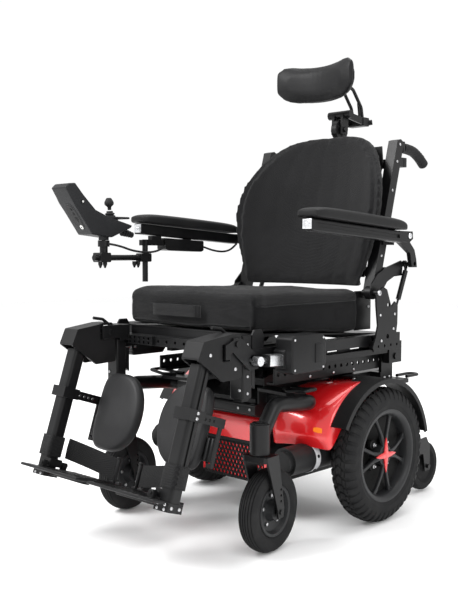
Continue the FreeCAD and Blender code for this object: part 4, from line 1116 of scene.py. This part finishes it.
for grow, low, high, look in ((1.0, -1.0, 0.5, 0), (0.86, 0.0, 0.9, 2)):
    pod.loft([[on_face(a * grow, 46 + b * grow, out) for a, b in oval(21, 44, 2.6, 40)] for out in (low,
                                                                                                    high)],
                                                                                                    look)
for along, radius, look in ((22, 4.5, 1), (36, 4.5, 1), (52, 6.5, 1), (60, 3.0, 2)):
    pod.rod(on_face(3, along, 0.2), on_face(3, along, 1.6), radius, look, 0.5)
pod.rod(on_face(6, 78, 0.2), on_face(6, 78, 2.2), 6.5, 3, 0.8)
pod.rod(on_face(6, 78, 1.5), on_face(6, 78, 2.5), 2.2, 1, 0.3)
pod.block((-334, -300, 800), (-282, -222, 806), 2.5)
pod.rod((-308, -270, 790), (-308, -271, 800), 22, 1, 2.0, 40)
pod.done("pod_shell", [grey_plastic, grip_rubber, plastic, socket_white], "joystick", "grey_plastic",
         ("joystick_pod",))
stick_foot = Vector((-308, -270, 794))
stick_axis = Vector((0, -0.08, 1)).normalized()
gaiter = Piece()
bellows = [(1, 0), (1, 16.5), (5, 17.2), (7.5, 16.2), (9.0, 12.6), (10.5, 12.2), (12.5, 15.4), (14.5, 15.2),
           (16.2, 11.4), (17.6, 11.0), (19.6, 13.6), (21.4, 13.2), (23.2, 9.6), (25, 8.8), (28, 8.6), (28,
                                                                                                       0)]
gaiter.lathe(bellows, stick_foot, stick_axis, 40)
gaiter.done("gaiter", [grip_rubber], "stick_base", "rubber", ("joystick_gaiter",), sharp=60)
knob = Piece()
knob.lathe([(30.4, 0), (30.4, 5), (38, 5.2), (41, 7.5), (44, 11.4), (47, 12.8), (51, 13.0), (55, 11.6), (58,
                                                                                                         9.6),
            (61, 8.2), (63, 6.6), (64, 4), (64, 0)], stick_foot, stick_axis, 40)
knob.done("stick_knob", [grip_rubber], "stick", "rubber", ("joystick_knob",), sharp=60)
button = Piece()
button.rod((-279.4, -388, 842), (-273.6, -388, 842), 5.6, 0, 1.2)
button.rod((-274, -388, 842), (-273, -388, 842), 3.0, 1, 0.3)
button.done("pod_button", [plastic, socket_white], "button", "black_plastic", ("power_button",))

# %% [markdown]
# ## Push grips
# %%
rib_steps = 30
rounding_starts = 0.93


def grip_scale(t):
    """Ribs along the grip, and its rounded end."""
    rib = 0.94 if int(t * rib_steps) % 2 else 1.0
    end = 1.0 if t < rounding_starts else 1.0 - (t - rounding_starts) * 3.5
    return rib * end


for side, word in ((1, "left"), (-1, "right")):
    grip = Piece()
    line = through([(231, 336, 1002), (231, 352, 1001.6), (231, 376, 1000), (231, 404, 995), (231, 432,
                                                                                              982),
                    (231, 452, 968), (231, 462, 961)], 6)
    count = len(line)
    grip.sweep(line, oval(11, 11, 2, 28), 1)
    grip.sweep(line[3:], oval(14.6, 14.6, 2, 28), 0, scale=grip_scale)
    grip.block((216, 328.5, 986), (246, 337, 1018), 1.5, 1)
    stands = ("push_grips",) if side == 1 else ()
    grip.done("push_grip_" + word, [grip_rubber, satin], "back", "rubber", stands, side, sharp=60)

# %% [markdown]
# ## Screws, caps and small fittings
# %%
def fittings(name, body, draw, looks=(zinc,), slot="aluminium"):
    """Draws small hardware on both sides of the chair."""
    for side, word in ((1, "left"), (-1, "right")):
        piece = Piece()
        draw(piece)
        piece.done(name + "_" + word, looks, body.replace("SIDE", word), slot, (), side)


def knee_screws(piece):
    for y, z in ((-446, 484), (-366, 446), (-362, 512)):
        piece.bolt((252, y, z), (1, 0, 0), 4.2, 1.8)


def shin_fittings(piece):
    out = Vector((1, 0, 0))
    for up in (208, 220):
        piece.bolt(in_leg(250, 0, up), out, 4.0, 3.0)
    for ahead in (-12, 12):
        piece.bolt(in_leg(247, ahead, 12), out, 4.0, 3.0)
    front = in_leg(0, 1, 0) - in_leg(0, 0, 0)
    for up in (7, 17):
        piece.bolt(in_leg(214, 22, up), front, 3.4, 2.4)
        piece.bolt(in_leg(236, 22, up), front, 3.4, 2.4)


def post_screws(piece):
    for z in (392, 432, 470, 505):
        piece.bolt((236, -335, z), (0, -1, 0), 3.6, 2.6)
        piece.bolt((246, -319, z - 8), (1, 0, 0), 3.6, 2.2)


def bracket_screws(piece):
    piece.bolt((270, 180, 600), (1, 0, 0), 8.0, 4.0)
    for y, z in ((186, 540), (256, 540), (250, 500), (192, 470)):
        piece.bolt((270, y, z), (1, 0, 0), 4.0, 2.6)


def cane_fittings(piece):
    for z in (640, 700, 880, 960, 1008):
        y = 196.0 + (z - 600.0) * recline
        piece.bolt((246, y, z), (1, 0, 0), 3.8, 2.4)


def arm_fittings(piece):
    piece.bolt((319, 250, 753), (1, 0, 0), 8.0, 3.6)
    piece.block((290.5, -176.5, 764.5), (317.5, -173, 788), 1.2)
    piece.rod((304, -176.5, 776), (304, -179.5, 776), 3.2, 0, 0.6)


def base_screws(piece):
    for y in (-40, 60, 150):
        piece.bolt((209, y, 392), (1, 0, 0), 4.0, 2.6)
    for y, z in ((286, 356), (310, 356), (298, 436)):
        piece.bolt((219, y, z), (1, 0, 0), 4.4, 2.6)
    for x, z in ((60, 306), (100, 306)):
        piece.bolt((x, -150, z), (0, -1, 0), 3.4, 2.2)


def fork_screws(piece):
    piece.bolt((257, -288, 314), (0, 0, 1), 9.0, 3.0)


fittings("knee_screws", "leg_SIDE", knee_screws)
fittings("shin_fittings", "leg_SIDE", shin_fittings)
fittings("post_screws", "seat", post_screws)
fittings("bracket_screws", "seat", bracket_screws)
fittings("cane_fittings", "back", cane_fittings)
fittings("arm_fittings", "arm_SIDE", arm_fittings, (brushed,))
fittings("base_screws", "base", base_screws)
fittings("barrel_cap", "base", fork_screws, (plastic,), "black_plastic")
# Headrest disc: a zinc screw with three near-black dots of painted shade round it.
disc = Piece()
for degrees in (30, 150, 270):
    a = math.radians(degrees)
    spot = Vector((9, 362 + 18 * math.cos(a), 1075 + 18 * math.sin(a)))
    disc.rod(spot - Vector((0.5, 0, 0)), spot + Vector((0.6, 0, 0)), 3.6, 0, 0.2)
disc.bolt((9, 362, 1075), (1, 0, 0), 6.0, 3.0, 1)
disc.done("headrest_disc", [painted_hollow_shade, zinc], "back", "black_satin")

# %% [markdown]
# ## Floor and light
# %%
floor_mesh = bmesh.new()
bmesh.ops.create_grid(floor_mesh, x_segments=1, y_segments=1, size=9.0)
floor_data = bpy.data.meshes.new("floor")
floor_mesh.to_mesh(floor_data)
floor_mesh.free()
floor = bpy.data.objects.new("floor", floor_data)
floor.location.z = -0.0005
scene.collection.objects.link(floor)
paper = Look("paper", {"Roughness": 0.9, "Specular IOR Level": 0.1})
paper.colour(paper.noise(3.0), (0.95, 0.95, 0.95), (0.97, 0.97, 0.97))
floor_data.materials.append(paper.material)

world = bpy.data.worlds.new("studio")
world.use_nodes = True
world.node_tree.nodes["Background"].inputs["Color"].default_value = (1.0, 1.0, 1.0, 1.0)
world.node_tree.nodes["Background"].inputs["Strength"].default_value = 1.02
scene.world = world


def softbox(name, place, target, size, watts):
    light = bpy.data.lights.new(name, "AREA")
    light.shape = "RECTANGLE"
    light.size, light.size_y = size
    light.energy = watts
    made = bpy.data.objects.new(name, light)
    made.location = place
    made.rotation_euler = (Vector(target) - Vector(place)).to_track_quat("-Z", "Y").to_euler()
    scene.collection.objects.link(made)


softbox("key", (-1.2, -2.6, 3.0), (0, 0, 0.6), (1.6, 1.6), 150)
softbox("side", (3.2, -0.4, 2.0), (0, 0, 0.4), (1.2, 2.0), 34)
softbox("top", (0.2, 0.6, 3.6), (0, 0, 0.4), (2.4, 2.4), 60)
scene.view_settings.view_transform = "Standard"
